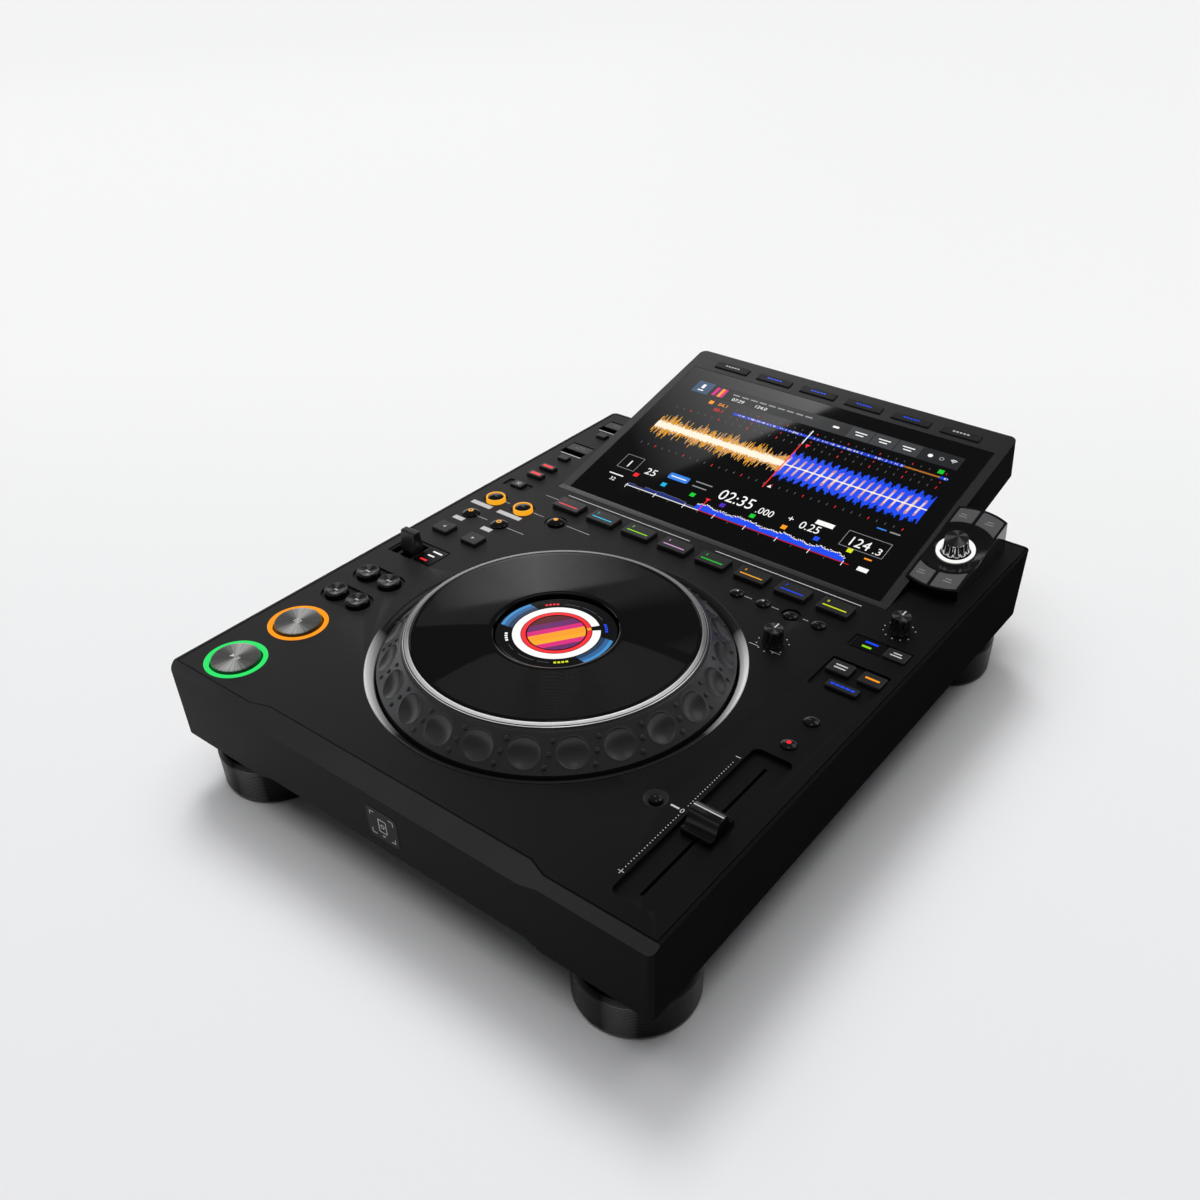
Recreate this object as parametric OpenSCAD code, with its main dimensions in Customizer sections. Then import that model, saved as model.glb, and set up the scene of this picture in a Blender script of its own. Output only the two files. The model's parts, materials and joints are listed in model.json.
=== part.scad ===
// Tabletop DJ media player: a low case on four turned feet, with a large
// touch-sensitive jog wheel, a tilted touch screen, a browse dial, illuminated
// transport keys, eight hot cue keys, a speed fader and two USB ports.
// Places on the deck are given as [x from the middle, distance behind the front
// face], heights as millimetres above the deck.

/* [Case] */
// Width of the case
body_w = 329; // [296:1:362]
// Depth of the case at deck level
body_d = 396; // [357:1:436]
// Height of the case walls
wall_h = 47.4; // [44:0.2:60]
// Thickness of the case walls
wall_t = 4; // [3.5:0.5:5]
// Width of the rim around the top plate
rim_w = 1.9; // [1.5:0.1:2.5]
// Thickness of the top plate
plate_t = 3; // [2.5:0.5:4]
// Gap between the top plate and its rim
plate_gap = 0.5; // [0.2:0.1:0.8]
// Thickness of the bottom pan
pan_t = 2; // [1.5:0.5:3]
// How far the pan lies above the lower edge of the walls
pan_rise = 1.4; // [0.5:0.1:3]
// Radius of the upright case corners
corner_r = 4; // [2:0.5:6]
// Fall of the front bevel
bevel_tilt = 42; // [36:1:48]
// Set-back of the bevel's upper edge at the corners
bevel_in = 5; // [4:0.5:6]
// Set-back of the bevel's upper edge at the middle
nose_in = 9; // [7:0.5:11]
// Half width of the deeper middle bevel
nose_half = 90; // [70:1:100]
// Width of the facet between the two bevels
nose_run = 10.5; // [6:0.5:16]
// How much shorter the front wall is at the middle
nose_lift = 3.6; // [1:0.2:5]

/* [Feet] */
// Radius of a foot
foot_r = 32; // [26:0.5:33]
// Height of a foot
foot_h = 25.6; // [15:0.2:35]
// Radius of the neck above a foot
neck_r = 28; // [20:1:30]
// Height of the neck above a foot
neck_h = 8.9; // [4:0.1:15]
// Distance of a foot's centre from the side of the case
foot_side = 33.2; // [32:0.1:50]
// Distance of a foot's centre from the front or back face
foot_in = 32.4; // [32:0.1:50]

/* [Jog wheel] */
// Distance of the jog wheel's axis behind the front face
jog_y = 134.4; // [130:0.1:136]
// Width of the columns of keys on both sides of the bezel ring
column_w = 59.7; // [54:0.1:66]
// Distance from the bezel ring's rim to the jog ring's foot
bezel_band = 6.5; // [5.5:0.1:8]
// Width of the jog ring's cone, seen from above
cone_w = 14.8; // [13:0.1:16]
// Height of the jog ring's cone above the deck
ring_top = 14.8; // [13.5:0.1:18]
// Depth of the jog ring's skirt below the deck
skirt_low = 6; // [5:0.5:8]
// Width of the bead around the platter
bead_band = 5.1; // [4.5:0.1:8]
// Height of the bead around the platter
bead_h = 2.2; // [1.5:0.1:3]
// Thickness of the platter
platter_t = 3.2; // [2:0.1:4]
// Number of finger dimples around the jog ring
dimples = 24; // [12:1:24]
// Radius of a finger dimple
dimple_r = 8.1; // [6:0.1:8.5]
// Depth of a finger dimple
dimple_depth = 2; // [1:0.1:2.4]
// Radius of a grip nub
nub_r = 1.2; // [0.8:0.1:1.5]
// Depth of the jog well below the deck
well_depth = 24; // [22:1:30]
// Radius of the post that the jog wheel turns on
post_r = 19.9; // [16:0.1:24]
// Running clearance of a shaft in its bore
run_gap = 0.1; // [0.05:0.05:0.1]
// Radius of the fixed display in the middle of the platter
eye_r = 33.2; // [30:0.1:38]

/* [Display] */
// Distance of the display housing from the side of the case
slab_side = 40.5; // [38:0.1:46]
// Length of the display housing up its slope
slab_l = 171.7; // [168:0.1:175]
// Thickness of the display housing
slab_t = 28; // [24:0.5:34]
// Slope of the display housing
slab_tilt = 13.6; // [10:0.1:16]
// Distance from the front face to the foot of the slope
slab_y = 286.3; // [284:0.1:290]
// Depth of the flat lip in front of the slope
slab_lip = 5.3; // [3:0.1:5.5]
// Distance of the touch screen from the side of its housing
screen_side = 6.65; // [5:0.05:12]
// Length of the touch screen up the slope
screen_l = 151.5; // [140:0.1:152]
// Thickness of the touch screen
screen_t = 4; // [3:0.5:5]
// Gap between two keys above the screen
screen_key_gap = 8.3; // [6:0.1:14]
// Depth of a key above the screen
screen_key_d = 6.6; // [5:0.1:8]
// Distance of the outer keys above the screen from the side of the housing
screen_key_side = 20.45; // [18:0.05:24]

/* [Browse pod] */
// Outer radius of the browse pod about its dial
pod_r = 37.3; // [35:0.1:40]
// Distance of the dial's axis from the side of the display housing
dial_side = 11.5; // [10:0.1:13]
// Distance of the dial's axis up the slope
dial_s = 59.7; // [50:0.1:80]
// Distance from the dial's axis to the pod's right wall
pod_right = 17.5; // [15:0.1:19]
// Radius of the dish around the dial
dish_r = 21.5; // [20:0.1:23]
// Depth of the dish
dish_depth = 3; // [2:0.1:4]
// Radius of the dial's cap
dial_r = 7.2; // [6:0.1:8]
// Height of the dial above the slope
dial_h = 9; // [7:0.1:14]

/* [Fader] */
// Distance of the fader's middle from the right side of the case
fader_side = 24.3; // [23.5:0.1:26]
// Distance of the fader's middle behind the front face
fader_y = 75; // [74:0.1:76]
// Travel of the fader to each side
fader_travel = 47; // [40:0.5:52]
// Width of the fader's trough
trough_w = 22.8; // [20:0.1:24]
// Depth of the fader's trough
trough_depth = 3; // [2.5:0.1:4]
// Width of the fader cap
fader_w = 17; // [14:0.1:18]
// Length of the fader cap
fader_l = 20; // [16:0.1:21]
// Height of the fader cap
fader_h = 8; // [6:0.1:12]

/* [Keys] */
// Clearance around a key
key_gap = 0.3; // [0.2:0.05:0.4]
// Travel of a key
key_travel = 1; // [0.6:0.1:1.2]
// Overlap of a key's flange under the plate
flange_w = 1.2; // [0.8:0.1:1.4]
// Thickness of a key's flange
flange_t = 1.5; // [1:0.1:2]
// Radius of the play and cue caps
play_r = 13.8; // [12:0.1:14.5]
// Outer radius of the lit rings around play and cue
halo_r = 17.1; // [16.5:0.1:18]
// Distance of the play key's centre behind the front face
play_y = 25.4; // [25.2:0.1:30]
// Radius of the search and track caps
search_r = 7; // [6:0.1:7.4]
// Width of a hot cue key
hot_w = 20.4; // [16:0.1:22]
// Depth of a hot cue key
hot_d = 12.4; // [10:0.1:13]
// Height of a hot cue key above the deck
hot_h = 3; // [2:0.1:5]
// Pitch of the hot cue keys
hot_pitch = 28.4; // [28:0.1:29]
// Radius of the small domed keys
dome_r = 5.5; // [4.5:0.1:6]
// Radius of the small cue memory keys
call_r = 4.15; // [3.5:0.05:4.5]
// Radius of the two loop keys
loop_r = 6.5; // [5.5:0.1:6.8]
// Radius of the rotary knobs
knob_r = 6.1; // [5:0.1:6.5]
// Height of the rotary knobs
knob_h = 10.5; // [8:0.1:14]
// Depth of the control board below the deck
board_drop = 9; // [8.4:0.1:10]
// Swing of the direction lever to each side
lever_swing = 12; // [6:1:12]
// Height of the direction lever
lever_h = 13.5; // [10:0.1:16]

/* [Ports] */
// Width of a USB bay
usb_w = 19; // [17:0.1:20]
// Depth of a USB bay from front to back
usb_d = 16.3; // [15:0.1:17]
// Depth of a USB bay below the deck
usb_deep = 12; // [10:0.5:16]
// Length of a USB door
door_d = 9.5; // [8:0.1:10]

/* [Hidden] */
$fn = 64;
cut = 1; // how far a cutter runs past a face

// Overall frame: the deck's height, and the depth with the screen's overhang
deck_z = foot_h + neck_h + wall_h - pan_rise;
total_d = slab_y + slab_l * cos(slab_tilt) + slab_t * sin(slab_tilt);

// Hot cue row in front of the display, and the least room the bezel ring leaves in
// front of itself and before that row; it fills the width between the columns
hot_off = 18.2;
jog_front = 25;
jog_back = 20.5;

// Widths, radii and rows that follow from the case and the display
foot_x = body_w / 2 - foot_side;
slab_w = body_w - 2 * slab_side;
screen_w = slab_w - 2 * screen_side;
screen_key_w = (slab_w - 2 * screen_key_side - 5 * screen_key_gap) / 6;
screen_key_pitch = screen_key_w + screen_key_gap;
dial_x = slab_w / 2 + dial_side;
slab_front = slab_y - slab_lip;
hot_row = slab_front - hot_off;
bezel_r = min(body_w / 2 - column_w, jog_y - jog_front,
              hot_row - jog_back - jog_y);
ring_r = bezel_r - bezel_band;
ring_top_r = ring_r - cone_w;
platter_r = ring_top_r - bead_band;

// Front rail of the case: its height, its rim in front of the top plate and the
// ledge that the plate lies on
rail_h = 12;
front_rim = 0.6;
rail_seat = 0.9;

// Levels below the deck
pan_low = -(wall_h - pan_rise);
pan_top = pan_low + pan_t;
flange_top = -(plate_t + key_gap);
board_t = 1.6;
stem_low = -board_drop + key_travel + key_gap;

// Ports, at fixed distances from the left side and the back of the case
usb_side = 17;
usb_back = [73, 29.5];
usb_x = usb_side - body_w / 2;
usb_y = [body_d - usb_back[0], body_d - usb_back[1]];
stop_off = [1.9, -9]; // place of a stop key from its bay's front

// Key rows are drawn for a case of this size
drawn_w = 329;
drawn_d = 396;
drawn_stop = drawn_d - usb_back[0] + stop_off[1];

// Place in the left column, at a distance from the case's side. In a shorter case
// its rows move together, between the play key and the USB bays
function left_at(side, row) =
    [-body_w / 2 + side, play_y + (row - play_y)
        * min(1, (usb_y[0] + stop_off[1] - play_y) / (drawn_stop - play_y))];

// Place in the right column, at a distance from the case's side
function right_at(side, row) = [body_w / 2 - side, row];

// Place between the columns, whose keys are spread over the case's width
function middle_at(x, row) = [x * body_w / drawn_w, row];

// Places of keys and knobs: [x, distance behind the front face]
play_at = left_at(26.9, play_y);
cue_at = left_at(26.9, 68.6);
search_at = left_at(29.2, 103.2);
track_at = left_at(29.2, 128.3);
pair_pitch = 18;
pill = [36.8, 18.4];
pill_depth = 1.5;
lever_at = left_at(20.9, 164.5);
lever_pocket_at = lever_at + [5.4, 0.4];
lever_pocket = [35.5, 20.6];
lever_slot_at = lever_at - [2.3, 0];
lever_window_at = lever_at + [14.7, 1];
lever_window = [14.2, 17.6];
lever_foot = 4.4; // half thickness of the lever at the deck
jump_at = [left_at(19.8, 194), left_at(44.8, 194)];
jump_size = [12.5, 11];
short_at = left_at(19.2, 219);
long_at = left_at(43.9, 219);
in_at = left_at(19.3, 242.8);
out_at = left_at(43.2, 242.8);
reloop_at = [out_at[0] + 28.3, hot_row - 20];
slip_at = left_at(18.2, 266.4);
slip_size = [9.2, 7.1];
slip_pocket = [20.5, 9.4];
lit_at = [left_at(19.8, 282.9), left_at(19.8, 295.8)];
lit_size = [12.3, 6];
stop_at = [for (y = usb_y) [usb_x, y] + stop_off];
stop_size = [8, 6];
hot_mid = 1.8;
call_row = hot_row - 19.3;
call_at = [middle_at(46, call_row), middle_at(64.2, call_row)];
delete_at = middle_at(82.8, call_row);
delete_ring_r = 6.05;
memory_at = middle_at(101.2, call_row);
feel_at = middle_at(89.3, hot_row - 49.3);
speed_at = right_at(24.5, 266.5);
mode_pocket_at = right_at(24.9, 244);
mode_pocket = [35.5, 12.8];
mode_window_at = right_at(32, 244.2);
mode_window = [18.4, 11.4];
mode_at = right_at(14.4, 243.5);
mode_size = [13.2, 9.6];
sync_pocket_at = right_at(24.9, 209.4);
sync_pocket = [35.4, 29.6];
sync_depth = 1.5;
beat_at = right_at(33.6, 215.8);
beat_size = [13.8, 10.5];
master_at = right_at(14.7, 216);
master_size = [13.4, 10];
key_sync_at = right_at(24.3, 200.8);
key_sync_size = [18.5, 6];
fader_at = right_at(fader_side, fader_y);
trough_l = 2 * (fader_travel + fader_l / 2) + 4;
tempo_at = right_at(23.3, fader_y + trough_l / 2 + 10.9);
range_at = tempo_at + [0.1, 22.3];
reset_at = fader_at - [29.2, 0.4];
reset_r = 3;
reset_ring_r = 6.3;
shallow = 0.8; // depth of the flat panels around windows

// Heights of the keys above the deck
transport_h = 1.6;
pair_h = 2.5;
jump_h = 2.5;
dome_h = 2.6;
loop_h = 3.5;
slip_h = 1.4;
lit_h = 2.5;
stop_h = 2;
call_h = 2.4;
delete_h = 1.2;
panel_key_h = 1; // jog mode, beat sync, key sync and master
tempo_h = 2;     // tempo range and master tempo
reset_h = 0.8;

/* ---- shared shapes ---- */

// Puts a child at a place on the deck
module on_deck(p, z = 0) {
    translate([p[0], p[1] - total_d / 2, deck_z + z]) children();
}

// Puts a child in the display's sloping frame: y up the slope, z off its face
module on_slope(x = 0, s = 0) {
    translate([0, slab_y - total_d / 2, deck_z])
        rotate([slab_tilt, 0, 0])
            translate([x, s, 0]) children();
}

// Rectangle about its centre, with round corners
module round_rect(size, r) {
    square([size[0] - 2 * r, size[1]], center = true);
    square([size[0], size[1] - 2 * r], center = true);
    for (i = [-1, 1], j = [-1, 1])
        translate([i * (size[0] / 2 - r), j * (size[1] / 2 - r)]) circle(r);
}

// Upright block with round corners, from z = low to z = high
module block(size, low, high, r = 0.8) {
    translate([0, 0, low]) linear_extrude(high - low) round_rect(size, r);
}

// Upright cylinder from z = low to z = high
module disc(r, low, high) {
    translate([0, 0, low]) cylinder(r = r, h = high - low);
}

// Round cap with a chamfered rim
module round_cap(r, low, high, chamfer = 0.5) {
    disc(r, low, high - chamfer);
    translate([0, 0, high - chamfer])
        cylinder(r1 = r, r2 = r - chamfer, h = chamfer);
}

// Domed cap: a cylinder closed by part of a sphere
module domed_cap(r, low, high, rise) {
    ball_r = (r * r + rise * rise) / (2 * rise);
    disc(r, low, high - rise);
    intersection() {
        translate([0, 0, high - ball_r]) sphere(ball_r);
        disc(r, high - rise, high + cut);
    }
}

// Stem that presses the switch on the control board
module stem() {
    disc(2, stem_low, flange_top - flange_t);
}

// Below-deck part of a round key
module round_root(r, top = flange_top) {
    disc(r + flange_w, top - flange_t, top);
    disc(2, stem_low, top);
}

// Below-deck part of a rectangular key
module square_root(size) {
    block([size[0] + 2 * flange_w, size[1] + 2 * flange_w],
          flange_top - flange_t, flange_top);
    stem();
}

// Flat-topped rectangular key
module square_key(size, high) {
    block(size, flange_top, high);
    square_root(size);
}

// Hole for a key through the plate
module round_hole(r) {
    disc(r + key_gap, -plate_t - cut, cut);
}
module square_hole(size) {
    block([size[0] + 2 * key_gap, size[1] + 2 * key_gap], -plate_t - cut, cut);
}

// Set-back of the bevel's upper edge at a distance x from the middle
function set_back(x) =
    abs(x) <= nose_half ? nose_in
    : abs(x) >= nose_half + nose_run ? bevel_in
    : nose_in + (bevel_in - nose_in) * (abs(x) - nose_half) / nose_run;

// Corners where the front bevel changes, from left to right
function nose_xs() =
    [-nose_half - nose_run, -nose_half, nose_half, nose_half + nose_run];

// Outline of the recess that holds the top plate, drawn in by a margin
function deck_outline(margin) =
    let (half = body_w / 2 - rim_w - margin,
         lip = front_rim + margin,
         back = body_d - rim_w - margin)
    concat([[half, back], [-half, back], [-half, bevel_in + lip]],
           [for (x = nose_xs()) [x, set_back(x) + lip]],
           [[half, bevel_in + lip]]);

// Outline of the case's inside behind the front rail, which carries the plate
function rail_outline() =
    let (half = body_w / 2 - wall_t,
         lip = front_rim + plate_gap + rail_seat,
         back = body_d - wall_t)
    concat([[half, back], [-half, back], [-half, bevel_in + lip]],
           [for (x = nose_xs()) [x, set_back(x) + lip]],
           [[half, bevel_in + lip]]);

/* ---- case ---- */

// Everything in front of and above the faceted front bevel
module bevel_cutter() {
    far = body_w;
    fall = sin(bevel_tilt);
    on_deck([0, 0]) rotate([90 + bevel_tilt, 0, 0])
        linear_extrude(4 * nose_in, center = true)
            polygon(concat(
                [[-far, 4 * nose_in], [-far, -fall * bevel_in]],
                [for (x = nose_xs()) [x, -fall * set_back(x)]],
                [[far, -fall * bevel_in], [far, 4 * nose_in]]));
}

// Strip taken off the lower edge of the front wall
module nose_cutter() {
    wide = nose_half + nose_run;
    on_deck([0, wall_t], -wall_h)
        rotate([90, 0, 0]) linear_extrude(wall_t + cut)
            polygon([[-wide, 0], [-wide, -cut], [wide, -cut], [wide, 0],
                     [nose_half, nose_lift], [-nose_half, nose_lift]]);
}

rear_z = -22; // height of the connectors in the rear wall
jack_gap = 0.2;
jack_lip = 2; // flange of a connector behind the rear wall

// Places and sizes of what shows in the rear wall: the power inlet and its
// button, the network and computer sockets and the phono sockets
inlet_side = 52.5;
inlet_x = body_w / 2 - inlet_side;
inlet_size = [27, 20];
inlet_mouth = [24, 16.5];
inlet_deep = 20;
pin_size = [2, 4];
pin_l = 13.5;
power_x = inlet_x - 36;
power_size = [13, 9];
lan_x = -20 * body_w / drawn_w;
lan_size = [16, 14];
lan_mouth = [12.4, 8.6];
lan_deep = 15;
host_x = lan_x - 28;
host_size = [12, 11];
host_mouth = [8.6, 7.9];
host_deep = 12;
phono_side = [86.5, 60.5, 42.5];
phono_x = [for (side = phono_side) side - body_w / 2];
phono_r = 4.15;
phono_bore = 1.7;
phono_l = 9.5;
phono_bush_r = 5; // bush of a phono socket in the rear wall
phono_base = [6, 8]; // radius and length of its body inside the case

module rear_at(x) {
    on_deck([x, body_d], rear_z) rotate([90, 0, 0]) children();
}

module case_shell() {
    color("#232426") difference() {
        on_deck([0, body_d / 2])
            block([body_w, body_d], -wall_h, 0, corner_r);
        bevel_cutter();
        nose_cutter();
        // recess for the top plate
        on_deck([0, 0], -plate_t)
            linear_extrude(plate_t + cut) polygon(deck_outline(0));
        // inside of the case, with a thicker rail along the front
        on_deck([0, 0], -plate_t - rail_h)
            linear_extrude(plate_t + rail_h + cut) polygon(rail_outline());
        on_deck([0, body_d / 2])
            block([body_w - 2 * wall_t, body_d - 2 * wall_t],
                  -wall_h - cut, -plate_t - rail_h + cut, 2);
        // rebate for the bottom pan
        on_deck([0, body_d / 2])
            block([body_w - wall_t, body_d - wall_t], -wall_h - cut, pan_top, 3);
        // openings in the rear wall
        rear_at(inlet_x) rear_hole(inlet_size);
        rear_at(power_x) rear_hole([power_size[0] + 2 * key_gap,
                                    power_size[1] + 2 * key_gap]);
        rear_at(lan_x) rear_hole(lan_size);
        rear_at(host_x) rear_hole(host_size);
        for (x = phono_x)
            rear_at(x) disc(phono_bush_r + jack_gap, -cut, wall_t + cut);
    }
}

// Hole through the rear wall for a connector of the given size
module rear_hole(size) {
    block([size[0] + 2 * jack_gap, size[1] + 2 * jack_gap],
          -cut, wall_t + cut, 1);
}

foot_places = [for (i = [-1, 1], y = [foot_in, body_d - foot_in]) [i * foot_x, y]];
vent = [3, 34];
vent_pitch = 8;
vent_at = [30, 64]; // first vent, from the middle of the pan
pan_gap = 0.2;

// Main board on its standoffs
main_front = 45;
main_back = 61;
main_side = 42.5;
main_size = [body_w - 2 * main_side, body_d - main_front - main_back];
main_mid = main_front + main_size[1] / 2;
main_corner = [main_size[0] / 2, main_mid + main_size[1] / 2];
standoff_h = 5;
standoff_r = 3.5;
standoff_bore = 1.25;
standoffs = [for (i = [-1, 0, 1], j = [-1, 0, 1]) if (i != 0 || j != 0)
    [i * (main_size[0] / 2 - 10), main_mid + j * (main_size[1] / 2 - 15)]];

module bottom_plate() {
    color("#1b1b1d") {
        difference() {
            on_deck([0, body_d / 2])
                block([body_w - wall_t - 2 * pan_gap, body_d - wall_t - 2 * pan_gap],
                      pan_low, pan_top, 3);
            for (i = [-1, 1], k = [0 : 9])
                on_deck([i * (vent_at[0] + vent_pitch * k), body_d / 2 + vent_at[1]])
                    block(vent, pan_low - cut, pan_top + cut, vent[0] / 2.01);
        }
        for (p = foot_places)
            on_deck(p) disc(neck_r, pan_low - neck_h, pan_low);
        for (p = standoffs) on_deck(p) difference() {
            disc(standoff_r, pan_top, pan_top + standoff_h);
            disc(standoff_bore, pan_top + 1, pan_top + standoff_h + cut);
        }
    }
}

module feet() {
    round_r = 2;
    color("#2a2b2d") for (p = foot_places)
        translate([p[0], p[1] - total_d / 2, 0]) rotate_extrude($fn = 96)
            polygon(concat(
                [[0, 0]],
                [for (a = [-90 : 15 : 0])
                    [foot_r - 0.5 - round_r + round_r * cos(a),
                     round_r + round_r * sin(a)]],
                [[foot_r, foot_h - 2.4], [foot_r - 2, foot_h], [0, foot_h]]));
}

/* ---- top plate ---- */

well_wall = 2.5;
well_r = ring_r + 1.2;
bezel_low = -4;
tub_wall = 1.5;
slab_gap = 0.5;
slot_w = 1.8;
fader_stem = [1.2, 6];
slot_l = 2 * fader_travel + fader_stem[1] + 2;
lever_axis_z = -14;
lever_slot = [17, 2 * (lever_foot + 1.2 - lever_axis_z * sin(lever_swing))];
lever_pin_r = 1.5;
lever_w = 11.6;
lever_gap = 0.25;
ear_t = 2.5;
ear_r = 4.5;
boss_r = 3;
boss_side = wall_t + boss_r + 0.5; // distance of an outer boss from the case's side
hot_end = hot_w / 2 + flange_w + 1 + boss_r;
slab_end = body_w / 2 - slab_side + slab_gap + tub_wall + 1 + boss_r;
bosses = concat(
    [for (row = [47, 90, 182, 230]) left_at(boss_side, row)],
    [for (row = [150, 186, 290]) right_at(boss_side, row)],
    [left_at(50.5, 160), right_at(43.5, 150), right_at(48, 190)],
    [hot_place(0) - [hot_end, 0], hot_place(7) + [hot_end, 0]],
    [for (back = [94, 12]) [-slab_end, body_d - back]]);
slab_seat = 8; // width of the ledge below the display housing
slab_sink = 6; // depth of the housing's base below the deck
slab_back = body_d - wall_t - tub_wall - slab_gap - key_gap;

// Outline of the display housing's base on the deck
module slab_base(margin) {
    translate([-slab_w / 2 - margin, slab_front - margin])
        square([slab_w + 2 * margin, slab_back - slab_front + 2 * margin]);
}

// Pockets cut a little way into the plate
module pockets() {
    for (p = [search_at, track_at])
        on_deck(p) block(pill, -pill_depth, cut, pill[1] / 2.01);
    on_deck(lever_pocket_at) block(lever_pocket, -shallow, cut, 1.5);
    on_deck(lever_window_at)
        block([lever_window[0] + 0.2, lever_window[1] + 0.2], -shallow - 1, cut);
    on_deck(mode_pocket_at) block(mode_pocket, -shallow, cut, 1.5);
    on_deck(mode_window_at)
        block([mode_window[0] + 0.2, mode_window[1] + 0.2], -shallow - 1, cut);
    on_deck(sync_pocket_at) block(sync_pocket, -sync_depth, cut, 1.5);
    on_deck([slip_at[0] - 0.4, slip_at[1]]) block(slip_pocket, -1, cut, 1.5);
    for (p = [in_at, out_at]) on_deck(p) disc(loop_r + 1.8, -shallow, cut);
    on_deck(reloop_at) disc(dome_r + 2.2, -shallow, cut);
    on_deck(delete_at) disc(delete_ring_r, -1.2, cut);
    on_deck(reset_at) translate([0, 0, -2])
        cylinder(r1 = reset_r + 1, r2 = reset_ring_r + cut / 2, h = 2 + cut / 2);
}

// Holes for keys, knobs, the lever and the fader
module key_holes() {
    for (p = [play_at, cue_at]) on_deck(p) disc(halo_r + 0.1, -plate_t - cut, cut);
    for (i = [-0.5, 0.5], p = [search_at, track_at])
        on_deck(p + [i * pair_pitch, 0]) round_hole(search_r);
    for (p = jump_at) on_deck(p) square_hole(jump_size);
    for (p = [short_at, long_at, reloop_at]) on_deck(p) round_hole(dome_r);
    for (p = [in_at, out_at]) on_deck(p) round_hole(loop_r);
    on_deck(slip_at) square_hole(slip_size);
    for (p = lit_at) on_deck(p) square_hole(lit_size);
    for (p = stop_at) on_deck(p) square_hole(stop_size);
    for (k = [0 : 7]) on_deck(hot_place(k)) square_hole([hot_w, hot_d]);
    for (p = concat(call_at, [delete_at, memory_at, range_at, tempo_at]))
        on_deck(p) round_hole(call_r);
    on_deck(reset_at) round_hole(reset_r);
    on_deck(mode_at) square_hole(mode_size);
    on_deck(beat_at) square_hole(beat_size);
    on_deck(master_at) square_hole(master_size);
    on_deck(key_sync_at) square_hole(key_sync_size);
    for (p = [feel_at, speed_at])
        on_deck(p) disc(shaft_r + run_gap, -plate_t - cut, cut);
    on_deck(lever_slot_at) block(lever_slot, -plate_t - cut, cut);
    on_deck(fader_at) block([trough_w, trough_l], -plate_t - cut, cut, 4);
    for (y = usb_y) on_deck([usb_x, y + usb_d / 2])
        block([usb_w, usb_d], -plate_t - cut, cut, 0.5);
}

function hot_place(k) = middle_at(hot_mid + hot_pitch * (k - 3.5), hot_row);

// Round well with the bezel's ledge, and a hole for the post's foot screw
module jog_well() {
    outer = bezel_r + 3;
    on_deck([0, jog_y]) rotate_extrude($fn = 180)
        polygon([[6, -well_depth], [well_r + well_wall, -well_depth],
                 [well_r + well_wall, bezel_low - 2], [outer, bezel_low - 2],
                 [outer, -plate_t], [bezel_r + 0.2, -plate_t],
                 [bezel_r + 0.2, bezel_low], [well_r, bezel_low],
                 [well_r, -well_depth + 2], [6, -well_depth + 2]]);
}

// Trough of the fader, below the plate
module fader_trough() {
    on_deck(fader_at) difference() {
        block([trough_w + 2 * tub_wall, trough_l + 2 * tub_wall],
              -trough_depth - tub_wall, -plate_t, 4 + tub_wall);
        block([trough_w, trough_l], -trough_depth, cut, 4);
        block([slot_w, slot_l], -trough_depth - tub_wall - cut, cut, slot_w / 2.01);
    }
}

// Ears that carry the direction lever's pins
module lever_ears() {
    long = lever_slot[1] + 6;
    on_deck(lever_at) difference() {
        union() for (i = [-1, 1])
            translate([i * (lever_w / 2 + lever_gap + ear_t / 2), 0, 0]) {
                translate([-ear_t / 2, -ear_r, lever_axis_z])
                    cube([ear_t, 2 * ear_r, -lever_axis_z - plate_t - 1]);
                translate([-ear_t / 2, -long / 2, -plate_t - 3])
                    cube([ear_t, long, 3]);
                translate([-ear_t / 2, 0, lever_axis_z])
                    rotate([0, 90, 0]) cylinder(r = ear_r, h = ear_t);
            }
        translate([-lever_w, 0, lever_axis_z])
            rotate([0, 90, 0]) cylinder(r = lever_pin_r + run_gap, h = 2 * lever_w);
    }
}

// Closed bay of a USB port, below the plate
module usb_bay(y) {
    outer = [usb_w + 2 * tub_wall, usb_d + 2 * tub_wall];
    on_deck([usb_x, y + usb_d / 2]) difference() {
        block(outer, -usb_deep - tub_wall, -plate_t, 0.5);
        block([usb_w, usb_d], -usb_deep, cut, 0.5);
    }
}

// Bores of the doors' pins, in the plate on both sides of each bay
door_pin_r = 0.8;
door_t = 1.4;
door_top = -0.2;
door_barrel_r = 1.3;
door_pin_z = door_top - door_barrel_r;
door_pin_end = 1.2; // how far a pin reaches into the plate
door_pin_y = usb_d - door_barrel_r - key_gap;
module door_pin_bores() {
    long = usb_w + 2 * door_pin_end + 0.6;
    for (y = usb_y) on_deck([usb_x - long / 2, y + door_pin_y], door_pin_z)
        rotate([0, 90, 0]) cylinder(r = door_pin_r + run_gap, h = long);
}

// Frame below the plate that the display housing sits in
module slab_frame() {
    low = -slab_sink - tub_wall;
    on_deck([0, 0], low) difference() {
        linear_extrude(-plate_t - low) slab_base(slab_gap + tub_wall);
        translate([0, 0, -cut])
            linear_extrude(body_w) slab_base(-slab_seat);
        translate([0, 0, tub_wall])
            linear_extrude(body_w) slab_base(slab_gap);
    }
}

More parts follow.
